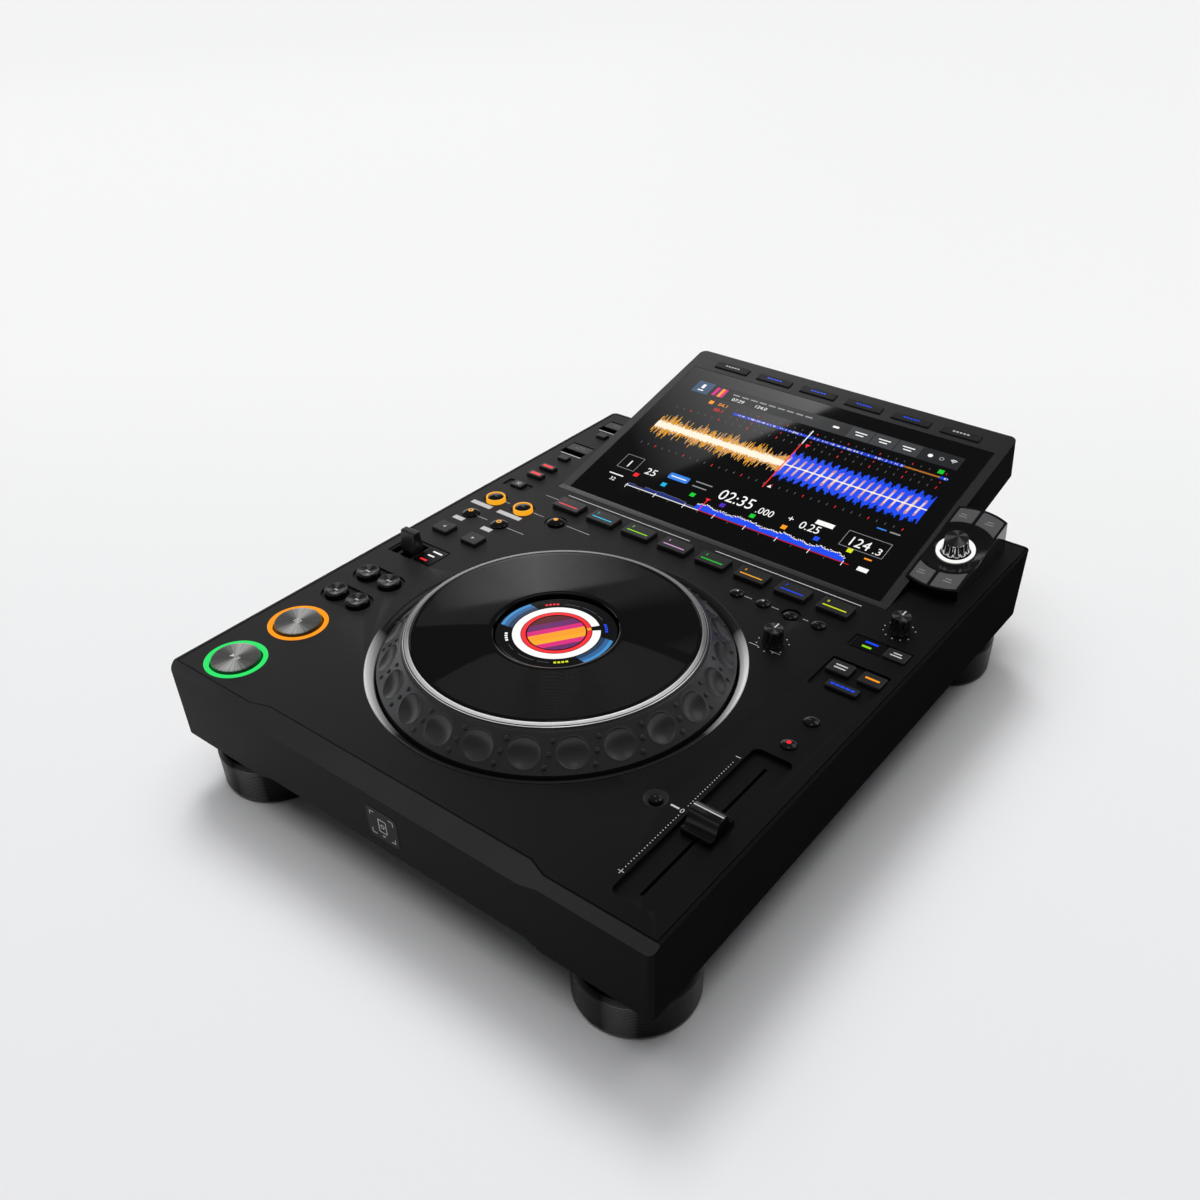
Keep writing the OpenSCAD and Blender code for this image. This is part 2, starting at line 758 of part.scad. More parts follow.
module top_plate() {
    color("#3a3b3d") {
        difference() {
            on_deck([0, 0], -plate_t)
                linear_extrude(plate_t) polygon(deck_outline(plate_gap));
            on_deck([0, jog_y])
                disc(bezel_r + 0.2, -plate_t - cut, cut, $fn = 180);
            on_deck([0, 0], -plate_t - cut)
                linear_extrude(plate_t + 2 * cut) slab_base(slab_gap);
            pockets();
            key_holes();
            door_pin_bores();
        }
        jog_well();
        fader_trough();
        lever_ears();
        for (y = usb_y) usb_bay(y);
        for (p = bosses) on_deck(p) disc(boss_r, -board_drop, -plate_t);
        slab_frame();
    }
}

/* ---- jog wheel ---- */

skirt_top = -0.8; // foot of the cone, below the deck
ring_t = 4;       // thickness of the cone's wall
web = [3, 6];     // lower and upper face of the web below the platter
hub_r = post_r + 6;
hub_low = -9;
platter_z = ring_top + bead_h;
seat_z = platter_z - platter_t;
bead_w = 0.4;
post_top = 8.3;
eye_z = platter_z - 2.6;
slant = atan2(ring_top - skirt_top, ring_r - ring_top_r);
slant_l = norm([ring_top - skirt_top, ring_r - ring_top_r]);

module jog_bezel() {
    lip = 0.5;
    color("#c9cbcd") on_deck([0, jog_y]) rotate_extrude($fn = 180)
        polygon([[well_r + 0.4, bezel_low], [bezel_r, bezel_low],
                 [bezel_r, 0.3], [bezel_r - lip, 0.3],
                 [well_r + 1, -2.6], [well_r + 0.4, -3]]);
}

module jog_post() {
    floor_z = -well_depth + 2;
    color("#8f9194") on_deck([0, jog_y]) difference() {
        union() {
            disc(post_r + 4, floor_z, hub_low - key_gap);
            disc(post_r, floor_z, post_top, $fn = 96);
        }
        disc(8, floor_z - cut, post_top + cut);
    }
}

module jog_display() {
    color("#101012") on_deck([0, jog_y]) rotate_extrude($fn = 120)
        polygon([[0, post_top], [post_r - 1, post_top], [post_r - 1, post_top + 1],
                 [eye_r - 1.2, post_top + 1], [eye_r, post_top + 2.2],
                 [eye_r, eye_z], [0, eye_z]]);
}

// Half section of the jog ring: hub, web, platter ledge and hollow cone
module jog_profile() {
    wall_in = ring_t * sin(slant);
    wall_down = ring_t * cos(slant);
    low_r = ring_r - wall_in;
    low_z = skirt_top - wall_down;
    web_r = low_r - (web[0] - low_z) / tan(slant);
    polygon([[post_r + run_gap, hub_low], [hub_r, hub_low], [hub_r, web[0]],
             [web_r, web[0]], [low_r, low_z], [low_r, -skirt_low],
             [ring_r, -skirt_low], [ring_r, skirt_top],
             [ring_top_r, ring_top], [ring_top_r - bead_w, ring_top],
             [platter_r + 3.4, platter_z - 0.6], [platter_r + 1.4, platter_z],
             [platter_r + 0.1, platter_z], [platter_r + 0.1, seat_z],
             [platter_r - 4.4, seat_z], [platter_r - 4.4, web[1]],
             [eye_r + 6, web[1]], [eye_r + 6, seat_z], [eye_r + 3, seat_z],
             [eye_r + 3, web[1]], [post_r + run_gap, web[1]]]);
}

// Puts a child on the cone: a turn about the axis and a share of the slant,
// with z standing off the surface
module on_cone(turn, share) {
    rotate([0, 0, turn])
        translate([ring_r - share * slant_l * cos(slant), 0,
                   skirt_top + share * slant_l * sin(slant)])
            rotate([0, 90 - slant, 0]) children();
}

// Small round grip nub, sunk a little into the surface below it
module nub() {
    disc(nub_r, -1, 0.25, $fn = 24);
    translate([0, 0, 0.25]) cylinder(r1 = nub_r, r2 = nub_r / 2, h = 0.35, $fn = 24);
}

module jog_ring() {
    step = 360 / dimples;
    ball_r = (dimple_r * dimple_r + dimple_depth * dimple_depth)
             / (2 * dimple_depth);
    nubs = [[-1.3, 0.19], [0, 0.49], [1.4, 0.8]];
    color("#2e2f31") on_deck([0, jog_y]) {
        difference() {
            rotate_extrude($fn = 180) jog_profile();
            for (k = [0 : dimples - 1]) on_cone(k * step, 0.5)
                translate([0, 0, ball_r - dimple_depth])
                    sphere(ball_r, $fn = 48);
        }
        for (k = [0 : dimples - 1], n = nubs)
            on_cone((k + 0.5) * step + n[0], n[1])
                nub();
    }
}

module jog_platter() {
    inner = eye_r + 1;
    color("#141416") on_deck([0, jog_y]) rotate_extrude($fn = 180)
        polygon([[inner, seat_z], [platter_r, seat_z],
                 [platter_r, platter_z - 0.3], [platter_r - 0.4, platter_z],
                 [inner + 1.2, platter_z], [inner, platter_z - 1.2]]);
}

/* ---- display ---- */

slab_corner = 5;
slab_wall = 3;
pod_bite = 3.5; // how far the pod reaches into the housing's side
hollow_side = 14; // thickness of the housing's side walls
hollow_front = 15;
screen_gap = 0.15;
key_row_s = screen_l + 8.2;
screen_key_top = 1.1;

// Side outline of the display housing, drawn up along x
module slab_body() {
    top = [slab_l * cos(slab_tilt), slab_l * sin(slab_tilt)];
    low = [top[0] + slab_t * sin(slab_tilt), top[1] - slab_t * cos(slab_tilt)];
    toe = slab_t / sin(slab_tilt);
    translate([0, -total_d / 2, deck_z]) rotate([90, 0, 90])
        linear_extrude(slab_w, center = true)
            polygon([[slab_front, -slab_sink], [slab_front, 0], [slab_y, 0],
                     [slab_y + top[0], top[1]], [slab_y + low[0], low[1]],
                     [slab_y + toe, 0], [slab_back, 0], [slab_back, -slab_sink]]);
}

// Body of the pod in the slope's frame, grown by a margin
module pod_prism(margin, high) {
    half = pod_r + margin;
    left = slab_w / 2 - pod_bite - margin;
    right = dial_x + pod_right + margin;
    deep = 2 * slab_t;
    translate([0, 0, -deep]) linear_extrude(deep + high) intersection() {
        translate([dial_x, dial_s]) circle(half, $fn = 120);
        translate([left, dial_s - half]) square([right - left, 2 * half]);
    }
}

module screen_key_places() {
    for (k = [0 : 5]) on_slope((k - 2.5) * screen_key_pitch, key_row_s) children();
}

module display_housing() {
    hollow_low = -3;
    key_size = [screen_key_w, screen_key_d];
    color("#4a4b4d") difference() {
        intersection() {
            slab_body();
            // rounds the two far corners
            on_slope() linear_extrude(2 * slab_l, center = true)
                translate([0, -slab_l / 2])
                    round_rect([slab_w, 3 * slab_l], slab_corner);
        }
        // pocket of the touch screen
        on_slope(0, screen_l / 2)
            block([screen_w + 2 * screen_gap, screen_l + 2 * screen_gap],
                  -screen_t, cut, 1);
        // hollow inside, kept above the deck
        intersection() {
            on_deck([0, 0], hollow_low) translate([-slab_w, 0, 0])
                cube([2 * slab_w, 2 * body_d, 4 * slab_t]);
            union() {
                on_slope(0, hollow_front)
                    hollow(slab_l - hollow_front, slab_t - slab_wall - screen_t - 3);
                on_slope(0, screen_l + 3)
                    hollow(slab_l - screen_l - 3, slab_t - 2 * slab_wall);
            }
        }
        screen_key_places()
            block([key_size[0] + 2 * key_gap, key_size[1] + 2 * key_gap],
                  -slab_wall - cut, cut);
        on_slope() pod_prism(0.2, slab_t);
    }
}

// Cutter for the housing's inside, up to its far wall
module hollow(long, high) {
    wide = slab_w - 2 * hollow_side;
    translate([-wide / 2, 0, -slab_t + slab_wall])
        cube([wide, long - slab_wall, high]);
}

module touch_screen() {
    color("#08080a") on_slope(0, screen_l / 2)
        block([screen_w, screen_l], -screen_t, 0, 1);
}

module screen_keys() {
    color("#3f4042") screen_key_places() {
        block([screen_key_w, screen_key_d], -slab_wall - key_gap,
              screen_key_top);
        block([screen_key_w + 2 * flange_w, screen_key_d + flange_w],
              -slab_wall - key_gap - flange_t, -slab_wall - key_gap);
    }
}

/* ---- browse pod ---- */

pod_top = 1.5;
pod_lip = 1.3;
pod_key_t = 2;
pod_travel = 0.6;
pod_split = 0.7;
pod_gate = 24; // part of the pod beside the dial that has no keys
dial_base_r = 8.5;
shaft_r = 3;
dial_shaft = 8.5;
ring_light = [9.6, 11.6]; // radii of the lit ring around the dial
ring_deep = 4;

// Plan of the four pod keys, shrunk by a margin
module pod_key_plan(margin) {
    left = slab_w / 2 - pod_bite + pod_lip + margin;
    right = dial_x + pod_right - pod_lip - margin;
    difference() {
        intersection() {
            translate([dial_x, dial_s])
                circle(pod_r - pod_lip - margin, $fn = 120);
            translate([left, dial_s - pod_r]) square([right - left, 2 * pod_r]);
        }
        translate([dial_x, dial_s]) circle(dish_r + 1.2 + margin, $fn = 96);
        translate([dial_x - pod_split - margin, dial_s - pod_r])
            square([2 * (pod_split + margin), 2 * pod_r]);
        translate([left - cut, dial_s - pod_gate / 2]) square([2 * pod_r, pod_gate]);
    }
}

module browse_pod() {
    ball_r = (dish_r * dish_r + dish_depth * dish_depth) / (2 * dish_depth);
    color("#27282a") difference() {
        intersection() {
            on_slope() pod_prism(0, pod_top);
            on_deck([0, 0]) cube([body_w, 2 * body_d, 4 * slab_t]);
        }
        // recess for the keys
        on_slope() translate([0, 0, pod_top - pod_key_t - pod_travel - key_gap])
            linear_extrude(slab_t) pod_key_plan(0);
        // dish, light ring seat and dial shaft
        on_slope(dial_x, dial_s) {
            translate([0, 0, pod_top - dish_depth + ball_r])
                sphere(ball_r, $fn = 160);
            disc(ring_light[1] + 0.1, -ring_deep, cut);
            disc(shaft_r + run_gap, -dial_shaft - 0.5, cut);
        }
    }
}

module browse_keys() {
    color("#5a5b5d") on_slope()
        translate([0, 0, pod_top - pod_key_t]) linear_extrude(pod_key_t)
            pod_key_plan(key_gap);
}

module browse_knob() {
    flutes = 12;
    color("#8d8f92") on_slope(dial_x, dial_s) {
        difference() {
            union() {
                disc(dial_r, 0, dial_h - 0.8);
                translate([0, 0, dial_h - 0.8])
                    cylinder(r1 = dial_r, r2 = dial_r - 0.8, h = 0.8);
                translate([0, 0, 0.3])
                    cylinder(r1 = dial_base_r, r2 = dial_r, h = 4);
            }
            for (k = [0 : flutes - 1]) rotate([0, 0, k * 360 / flutes])
                translate([dial_base_r + 0.6, 0, -cut])
                    cylinder(r = 1.6, h = dial_h - 1, $fn = 24);
        }
        disc(shaft_r, -dial_shaft, 1);
    }
}

/* ---- windows and lit rings ---- */

halo_flange = [0.9, 1.5]; // width and thickness of a lit ring's flange
halo_h = 0.3;

// Lit ring around a transport key, held below the plate by its flange
module halo(p) {
    inner = play_r + key_gap;
    outer = halo_r + halo_flange[0];
    low = -plate_t - halo_flange[1];
    on_deck(p) rotate_extrude($fn = 96)
        polygon([[inner, low], [outer, low], [outer, -plate_t], [halo_r, -plate_t],
                 [halo_r, halo_h], [inner, halo_h]]);
}

module indicator_windows() {
    color("#35e36f") halo(play_at);
    color("#ffb020") halo(cue_at);
    color("#0c0c0e") {
        on_deck(lever_window_at) block(lever_window, -shallow - 1, -0.3);
        on_deck(mode_window_at) block(mode_window, -shallow - 1, -0.2);
    }
    color("#f4f6f8") on_slope(dial_x, dial_s) difference() {
        disc(ring_light[1], -ring_deep, 0);
        disc(ring_light[0], -ring_deep - cut, cut);
    }
}

/* ---- boards ---- */

pot = 12; // side of a potentiometer's body
track_w = 14;
track_h = 10;
track_floor = 1.5;
slider = [9, 14, 4];

module board_plan() {
    front = 14;
    inner = body_w / 2 - wall_t;
    difference() {
        union() {
            // strip in front of the display, and one along each side
            translate([-inner + 1, front])
                square([2 * inner - 2, slab_front - 5 - front]);
            translate([-inner + 1, front])
                square([inner - slab_w / 2 - 2.5, body_d - front - 10]);
            translate([slab_w / 2 + 4, front])
                square([inner - slab_w / 2 - 4.5, slab_front + 17 - front]);
        }
        translate([0, jog_y]) circle(bezel_r + 4, $fn = 120);
        translate([-bezel_r, 0]) square([2 * bezel_r, jog_y]);
        translate(fader_at) square([track_w, trough_l], center = true);
        translate(lever_at) square([lever_w + 8.4, 4 * ear_r], center = true);
        for (y = usb_y) translate([usb_x - usb_w / 2 - 2, y - 2])
            square([usb_w + 4, usb_d + 4]);
        for (p = [play_at, cue_at]) translate(p) circle(3);
        for (p = [feel_at, speed_at]) translate(p) circle(shaft_r + 0.3);
    }
}

module control_board() {
    floor_z = -trough_depth - tub_wall;
    color("#1f6b3a") {
        on_deck([0, 0], -board_drop - board_t)
            linear_extrude(board_t) board_plan();
        // potentiometers of the two knobs
        for (p = [feel_at, speed_at]) on_deck(p) difference() {
            translate([-pot / 2, -pot / 2, -board_drop])
                cube([pot, pot, board_drop - plate_t]);
            disc(shaft_r + run_gap, -board_drop - cut, 0);
        }
        // track of the fader
        on_deck(fader_at) difference() {
            translate([-track_w / 2, -trough_l / 2, floor_z - track_h])
                cube([track_w, trough_l, track_h]);
            translate([-slider[0] / 2 - key_gap, -fader_travel - slider[1] / 2 - 0.5,
                       floor_z - track_h + track_floor])
                cube([slider[0] + 2 * key_gap,
                      2 * fader_travel + slider[1] + 1, track_h]);
        }
    }
}

main_top = pan_top + standoff_h + board_t;

// Power supply parts, with their places from the main board's far corners
transformer = [46, 38, 22];
transformer_in = [42, 35];
capacitor = [6, 20]; // radius and height
capacitor_in = [92, 50];
capacitor_pitch = 15;
sink = [50, 40, 14]; // heat sink, with its fins along the depth
sink_in = [62, 45];
sink_t = 3;
fin_t = 1.6;

module main_board() {
    color("#14532b") on_deck([0, main_mid], pan_top + standoff_h) difference() {
        block(main_size, 0, board_t, 3);
        for (p = standoffs) translate([p[0], p[1] - main_mid, 0])
            disc(standoff_bore + 0.25, -cut, board_t + cut);
    }
    color("#2c2f33") on_deck(main_corner - transformer_in, main_top)
        block([transformer[0], transformer[1]], 0, transformer[2], 2);
    color("#30343a") for (k = [0 : 2])
        on_deck(main_corner - capacitor_in + [0, k * capacitor_pitch], main_top)
            disc(capacitor[0], 0, capacitor[1]);
    color("#9a9da1")
        on_deck([sink_in[0] - main_corner[0], main_corner[1] - sink_in[1]], main_top) {
            block([sink[0], sink[1]], 0, sink_t, 1);
            for (k = [-4 : 4]) translate([k * sink[0] / 9, 0, 0])
                block([fin_t, sink[1]], sink_t - 0.1, sink[2], 0.5);
        }
}

/* ---- rear connectors ---- */

// Boxed connector with a square mouth, fixed to the rear wall's inner face
module boxed_jack(x, size, mouth, deep) {
    rear_at(x) difference() {
        union() {
            block(size, -0.6, wall_t, 1);
            block([size[0] + 2 * jack_lip, size[1] + 2 * jack_lip],
                  wall_t, wall_t + jack_lip, 1);
            block([size[0] + 1, size[1] + 1], wall_t + 1.9, deep + jack_lip, 1);
        }
        block(mouth, -cut - 1, deep, 0.6);
    }
}

module rear_jacks() {
    color("#1a1a1c") {
        boxed_jack(inlet_x, inlet_size, inlet_mouth, inlet_deep);
        boxed_jack(lan_x, lan_size, lan_mouth, lan_deep);
        boxed_jack(host_x, host_size, host_mouth, host_deep);
    }
    // blades of the power inlet
    color("#b9bcc0") rear_at(inlet_x)
        for (p = [[-7, -2], [7, -2], [0, 2]]) translate([p[0], p[1], 0])
            block(pin_size, inlet_deep + 0.5 - pin_l, inlet_deep + 0.5, 0.4);
    // phono sockets
    color("#c8a24a") for (x = phono_x) rear_at(x) difference() {
        union() {
            disc(phono_r, -phono_l, 0);
            disc(phono_bush_r, 0, wall_t);
            disc(phono_base[0], wall_t, wall_t + phono_base[1]);
        }
        disc(phono_bore, -phono_l - cut, wall_t);
    }
}

module power_button() {
    inset = wall_t + key_gap;
    color("#3c3d40") rear_at(power_x) {
        block(power_size, -2.5, inset, 1);
        block([power_size[0] + 2 * flange_w, power_size[1] + 2 * flange_w],
              inset, inset + flange_t, 1);
    }
}

/* ---- moving controls ---- */

module tempo_fader() {
    half = fader_l / 2;
    low = -trough_depth + key_gap;
    slider_low = -trough_depth - tub_wall - track_h + track_floor + key_gap;
    color("#3b3c3f") on_deck(fader_at) {
        rotate([90, 0, 90]) linear_extrude(fader_w, center = true)
            polygon([[-half, low], [half, low], [half, 0.6], [half - 1.4, 0.9],
                     [half - 2.4, 0.2], [half - 4, 1.4], [half - 5.6, 3.6],
                     [half - 6.8, fader_h - 0.6], [half - 7.4, fader_h],
                     [7.4 - half, fader_h], [6.8 - half, fader_h - 0.6],
                     [5.6 - half, 3.6], [4 - half, 1.4], [2.4 - half, 0.2],
                     [1.4 - half, 0.9], [-half, 0.6]]);
        translate([-fader_stem[0] / 2, -fader_stem[1] / 2, slider_low + slider[2] / 2])
            cube([fader_stem[0], fader_stem[1], low - slider_low - slider[2] / 2]);
        translate([-slider[0] / 2, -slider[1] / 2, slider_low]) cube(slider);
    }
}

module direction_lever() {
    tip = 2.2;
    neck = 3;
    color("#7d7f83") on_deck(lever_at) {
        rotate([90, 0, 90]) linear_extrude(lever_w, center = true)
            polygon([[-neck, lever_axis_z], [neck, lever_axis_z], [neck, -plate_t],
                     [lever_foot, 0], [tip + 0.5, lever_h - 0.8], [tip, lever_h],
                     [-tip, lever_h], [-tip - 0.5, lever_h - 0.8],
                     [-lever_foot, 0], [-neck, -plate_t]]);
        translate([-lever_w / 2, 0, lever_axis_z])
            rotate([0, 90, 0]) cylinder(r = neck + 0.5, h = lever_w);
        translate([-lever_w / 2 - ear_t, 0, lever_axis_z])
            rotate([0, 90, 0]) cylinder(r = lever_pin_r, h = lever_w + 2 * ear_t);
    }
}

// Fluted rotary knob on a shaft through the plate
module rotary_knob(p) {
    flutes = 10;
    top_r = knob_r - 0.7;
    color("#2b2c2e") on_deck(p) {
        difference() {
            union() {
                translate([0, 0, 0.4])
                    cylinder(r1 = knob_r, r2 = top_r, h = knob_h - 1);
                translate([0, 0, knob_h - 0.6])
                    cylinder(r1 = top_r, r2 = top_r - 0.6, h = 0.6);
            }
            for (k = [0 : flutes - 1]) rotate([0, 0, (k + 0.5) * 360 / flutes])
                translate([knob_r + 0.6, 0, -cut])
                    cylinder(r = 1.3, h = knob_h - 1.5, $fn = 24);
        }
        disc(shaft_r, -board_drop - board_t, 0.5);
    }
}
module jog_feel_knob() { rotary_knob(feel_at); }
module speed_knob() { rotary_knob(speed_at); }

// Door of a USB bay: a flap on a pin at the back of the bay
module usb_door(y) {
    flap_w = usb_w - 2 * key_gap;
    color("#38393b") on_deck([usb_x, y + door_pin_y]) {
        translate([-flap_w / 2, door_barrel_r - door_d, door_top - door_t])
            cube([flap_w, door_d - door_barrel_r, door_t]);
        translate([-flap_w / 2, 0, door_pin_z])
            rotate([0, 90, 0]) cylinder(r = door_barrel_r, h = flap_w);
        translate([-usb_w / 2 - door_pin_end, 0, door_pin_z])
            rotate([0, 90, 0])
                cylinder(r = door_pin_r, h = usb_w + 2 * door_pin_end);
    }
}
module usb_door_front() { usb_door(usb_y[0]); }
module usb_door_rear() { usb_door(usb_y[1]); }

// Large lit transport button inside its ring
module transport_button(p) {
    color("#aeb0b2") on_deck(p) {
        round_cap(play_r, flange_top - 2, transport_h);
        round_root(play_r, -plate_t - halo_flange[1] - key_gap);
    }
}
module play_button() { transport_button(play_at); }
module cue_button() { transport_button(cue_at); }

module search_button(side, p) {
    color("#a2a4a7") on_deck(p + [side * pair_pitch / 2, 0]) {
        round_cap(search_r, flange_top, pair_h);
        round_root(search_r);
    }
}
module search_back_button() { search_button(-1, search_at); }
module search_forward_button() { search_button(1, search_at); }
module track_back_button() { search_button(-1, track_at); }
module track_forward_button() { search_button(1, track_at); }

module jump_key(k) {
    color("#3a3b3e") on_deck(jump_at[k]) square_key(jump_size, jump_h);
}
module jump_back_key() { jump_key(0); }
module jump_forward_key() { jump_key(1); }

module dome_key(p, r = dome_r, high = dome_h) {
    color("#303134") on_deck(p) {
        domed_cap(r, flange_top, high, r / 3.4);
        round_root(r);
    }
}
module loop_short_key() { dome_key(short_at); }
module loop_long_key() { dome_key(long_at); }
module reloop_key() { dome_key(reloop_at); }

module loop_key(p) {
    color("#e09a28") on_deck(p) {
        round_cap(loop_r, flange_top, loop_h, 1.2);
        round_root(loop_r);
    }
}
module loop_in_key() { loop_key(in_at); }
module loop_out_key() { loop_key(out_at); }

module slip_key() {
    color("#38393c") on_deck(slip_at) square_key(slip_size, slip_h);
}
module lit_keys() {
    color("#b8433c") for (p = lit_at) on_deck(p) square_key(lit_size, lit_h);
}
module usb_stop_keys() {
    color("#38393c") for (p = stop_at) on_deck(p) square_key(stop_size, stop_h);
}

module hot_cue(k) {
    color("#3a3b3e") on_deck(hot_place(k - 1)) square_key([hot_w, hot_d], hot_h);
}
module hot_cue_1() { hot_cue(1); }
module hot_cue_2() { hot_cue(2); }
module hot_cue_3() { hot_cue(3); }
module hot_cue_4() { hot_cue(4); }
module hot_cue_5() { hot_cue(5); }
module hot_cue_6() { hot_cue(6); }
module hot_cue_7() { hot_cue(7); }
module hot_cue_8() { hot_cue(8); }

module call_keys() { for (p = call_at) dome_key(p, call_r, call_h); }
module delete_key() { dome_key(delete_at, call_r, delete_h); }
module memory_key() { dome_key(memory_at, call_r, call_h); }
module jog_mode_key() {
    color("#3a3b3e") on_deck(mode_at) square_key(mode_size, panel_key_h);
}
module beat_sync_key() {
    color("#3a3b3e") on_deck(beat_at) square_key(beat_size, panel_key_h);
}
module key_sync_key() {
    color("#3a3b3e") on_deck(key_sync_at) square_key(key_sync_size, panel_key_h);
}
module master_key() {
    color("#3a3b3e") on_deck(master_at) square_key(master_size, panel_key_h);
}
module tempo_range_key() { dome_key(range_at, call_r, tempo_h); }
module master_tempo_key() { dome_key(tempo_at, call_r, tempo_h); }
module tempo_reset_key() { dome_key(reset_at, reset_r, reset_h); }

case_shell();
bottom_plate();
top_plate();
feet();
display_housing();
touch_screen();
browse_pod();
jog_bezel();
jog_post();
jog_display();
indicator_windows();
control_board();
main_board();
rear_jacks();
jog_ring();
jog_platter();
tempo_fader();
direction_lever();
jog_feel_knob();
speed_knob();
browse_knob();
usb_door_front();
usb_door_rear();
power_button();
play_button();
cue_button();
search_back_button();
search_forward_button();
track_back_button();
track_forward_button();
jump_back_key();
jump_forward_key();
loop_short_key();
loop_long_key();
loop_in_key();
loop_out_key();
reloop_key();
slip_key();
lit_keys();
usb_stop_keys();
hot_cue_1();
hot_cue_2();
hot_cue_3();
hot_cue_4();
hot_cue_5();
hot_cue_6();
hot_cue_7();
hot_cue_8();
call_keys();
delete_key();
memory_key();
jog_mode_key();
beat_sync_key();
key_sync_key();
master_key();
tempo_range_key();
master_tempo_key();
tempo_reset_key();
screen_keys();
browse_keys();
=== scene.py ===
"""Looks of the tabletop DJ player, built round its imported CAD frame."""

import json
import math
import random

import bmesh
import bpy
from mathutils import Matrix, Vector


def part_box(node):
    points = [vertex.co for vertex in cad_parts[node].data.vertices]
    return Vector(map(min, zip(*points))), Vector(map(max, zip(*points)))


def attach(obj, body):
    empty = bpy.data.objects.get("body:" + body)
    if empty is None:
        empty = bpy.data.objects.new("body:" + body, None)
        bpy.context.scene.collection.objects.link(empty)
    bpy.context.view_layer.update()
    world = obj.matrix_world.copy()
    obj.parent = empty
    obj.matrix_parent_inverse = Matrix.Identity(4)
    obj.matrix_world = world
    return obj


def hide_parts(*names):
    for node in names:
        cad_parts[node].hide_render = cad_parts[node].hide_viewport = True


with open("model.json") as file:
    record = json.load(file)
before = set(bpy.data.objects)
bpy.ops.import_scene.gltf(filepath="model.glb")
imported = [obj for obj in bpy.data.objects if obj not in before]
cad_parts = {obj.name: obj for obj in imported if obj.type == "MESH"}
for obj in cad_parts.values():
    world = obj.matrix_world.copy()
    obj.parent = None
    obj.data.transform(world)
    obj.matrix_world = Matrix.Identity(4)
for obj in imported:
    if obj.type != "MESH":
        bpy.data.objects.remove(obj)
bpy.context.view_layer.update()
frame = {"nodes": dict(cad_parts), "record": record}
NODES = frame["nodes"]
BODY = {n: b for b, members in frame["record"]["behaviour"]["bodies"].items() for n in members}

# Sizes and places that the CAD model has too, in millimetres. A place on the deck
# is x from the middle and the distance behind the front face.
MM = 0.001
DEPTH = 396
HALF_DEPTH = 229.885
DECK_Z = 80.5
TILT = math.radians(13.6)
SLOPE_Y = 286.3
SCREEN_W, SCREEN_H = 234.7, 151.5
DIAL_X, DIAL_S = 135.5, 59.7
FOOT_X, FOOT_Y = 131.3, 32.4
JOG_Y = 134.4
RING_R, RING_TOP_R, RING_TOP, SKIRT_TOP = 98.3, 83.5, 14.8, -0.8
PLATTER_R, PLATTER_Z, PLATTER_LOW = 78.4, 17.0, 13.9
EYE_R, EYE_Z, EYE_LOW = 33.2, 14.4, 10.5
PLAY_AT, CUE_AT = (-137.6, 25.4), (-137.6, 68.6)
LEVER_WINDOW_AT, MODE_WINDOW_AT = (-128.9, 165.5), (132.5, 244.2)
KNOBS = {"jog_feel_knob": (89.3, 213.5), "speed_knob": (140, 266.5)}
FADER_AT = (140.2, 75)
LOOP_ROW, BEAT_LOOP_ROW, HOT_ROW = 242.8, 219, 262.8


# ---- frames ----

def deck(x, d, z=0.0, turn=0.0):
    """Local frame on the deck: x from the middle, d behind the front face."""
    return (Matrix.Translation((x, d - HALF_DEPTH, DECK_Z + z))
            @ Matrix.Rotation(math.radians(turn), 4, "Z"))


def slope(x=0.0, s=0.0, n=0.0):
    """Local frame on the screen's slope: s up the slope, n off its face."""
    return (Matrix.Translation((0, SLOPE_Y - HALF_DEPTH, DECK_Z))
            @ Matrix.Rotation(TILT, 4, "X") @ Matrix.Translation((x, s, n)))


# ---- materials ----

# CASE_END bounds the painted light fade, lighter at the left and darker at the right
CASE_END = 0.15   # metres from the middle, where a fade is complete
UNLIT = 0.1       # how bright a lamp's own colour is, next to its glow


def linear(code):
    """Linear colour of a #rrggbb code."""
    parts = [int(code[i:i + 2], 16) / 255 for i in (1, 3, 5)]
    return [c / 12.92 if c < 0.04045 else ((c + 0.055) / 1.055) ** 2.4 for c in parts]


class Nodes:
    """Adds nodes to a node tree and links them."""

    def __init__(self, tree):
        self.tree = tree

    def node(self, kind, links=(), **settings):
        made = self.tree.nodes.new("ShaderNode" + kind)
        for key, value in settings.items():
            if hasattr(made, key):
                setattr(made, key, value)
            else:
                made.inputs[key.replace("_", " ")].default_value = value
        for socket, source in dict(links).items():
            self.tree.links.new(source, made.inputs[socket])
        return made

    def math(self, operation, *values):
        made = self.node("Math", operation=operation)
        for socket, value in zip(made.inputs, values):
            if isinstance(value, (int, float)):
                socket.default_value = value
            else:
                self.tree.links.new(value, socket)
        return made.outputs[0]

    def place(self, kind="Object"):
        """Where a point of the piece is, in its own frame or its box."""
        return self.node("TexCoord").outputs[kind]

    def parts(self, place):
        return self.node("SeparateXYZ", {"Vector": place}).outputs

    def noise(self, place, scale, detail):
        return self.node("TexNoise", {"Vector": place}, Scale=scale, Detail=detail).outputs["Fac"]

    def line_noise(self, along, scale, detail):
        return self.node("TexNoise", {"W": along}, noise_dimensions="1D",
                         Scale=scale, Detail=detail).outputs["Fac"]

    def ramp(self, value, **ends):
        """Carries a value from one span over to another."""
        return self.node("MapRange", {"Value": value}, **ends).outputs[0]

    def mix(self, share, first, second):
        made = self.node("Mix", {"Factor": share}, data_type="RGBA")
        made.inputs["A"].default_value = (*first, 1)
        made.inputs["B"].default_value = (*second, 1)
        return made.outputs["Result"]


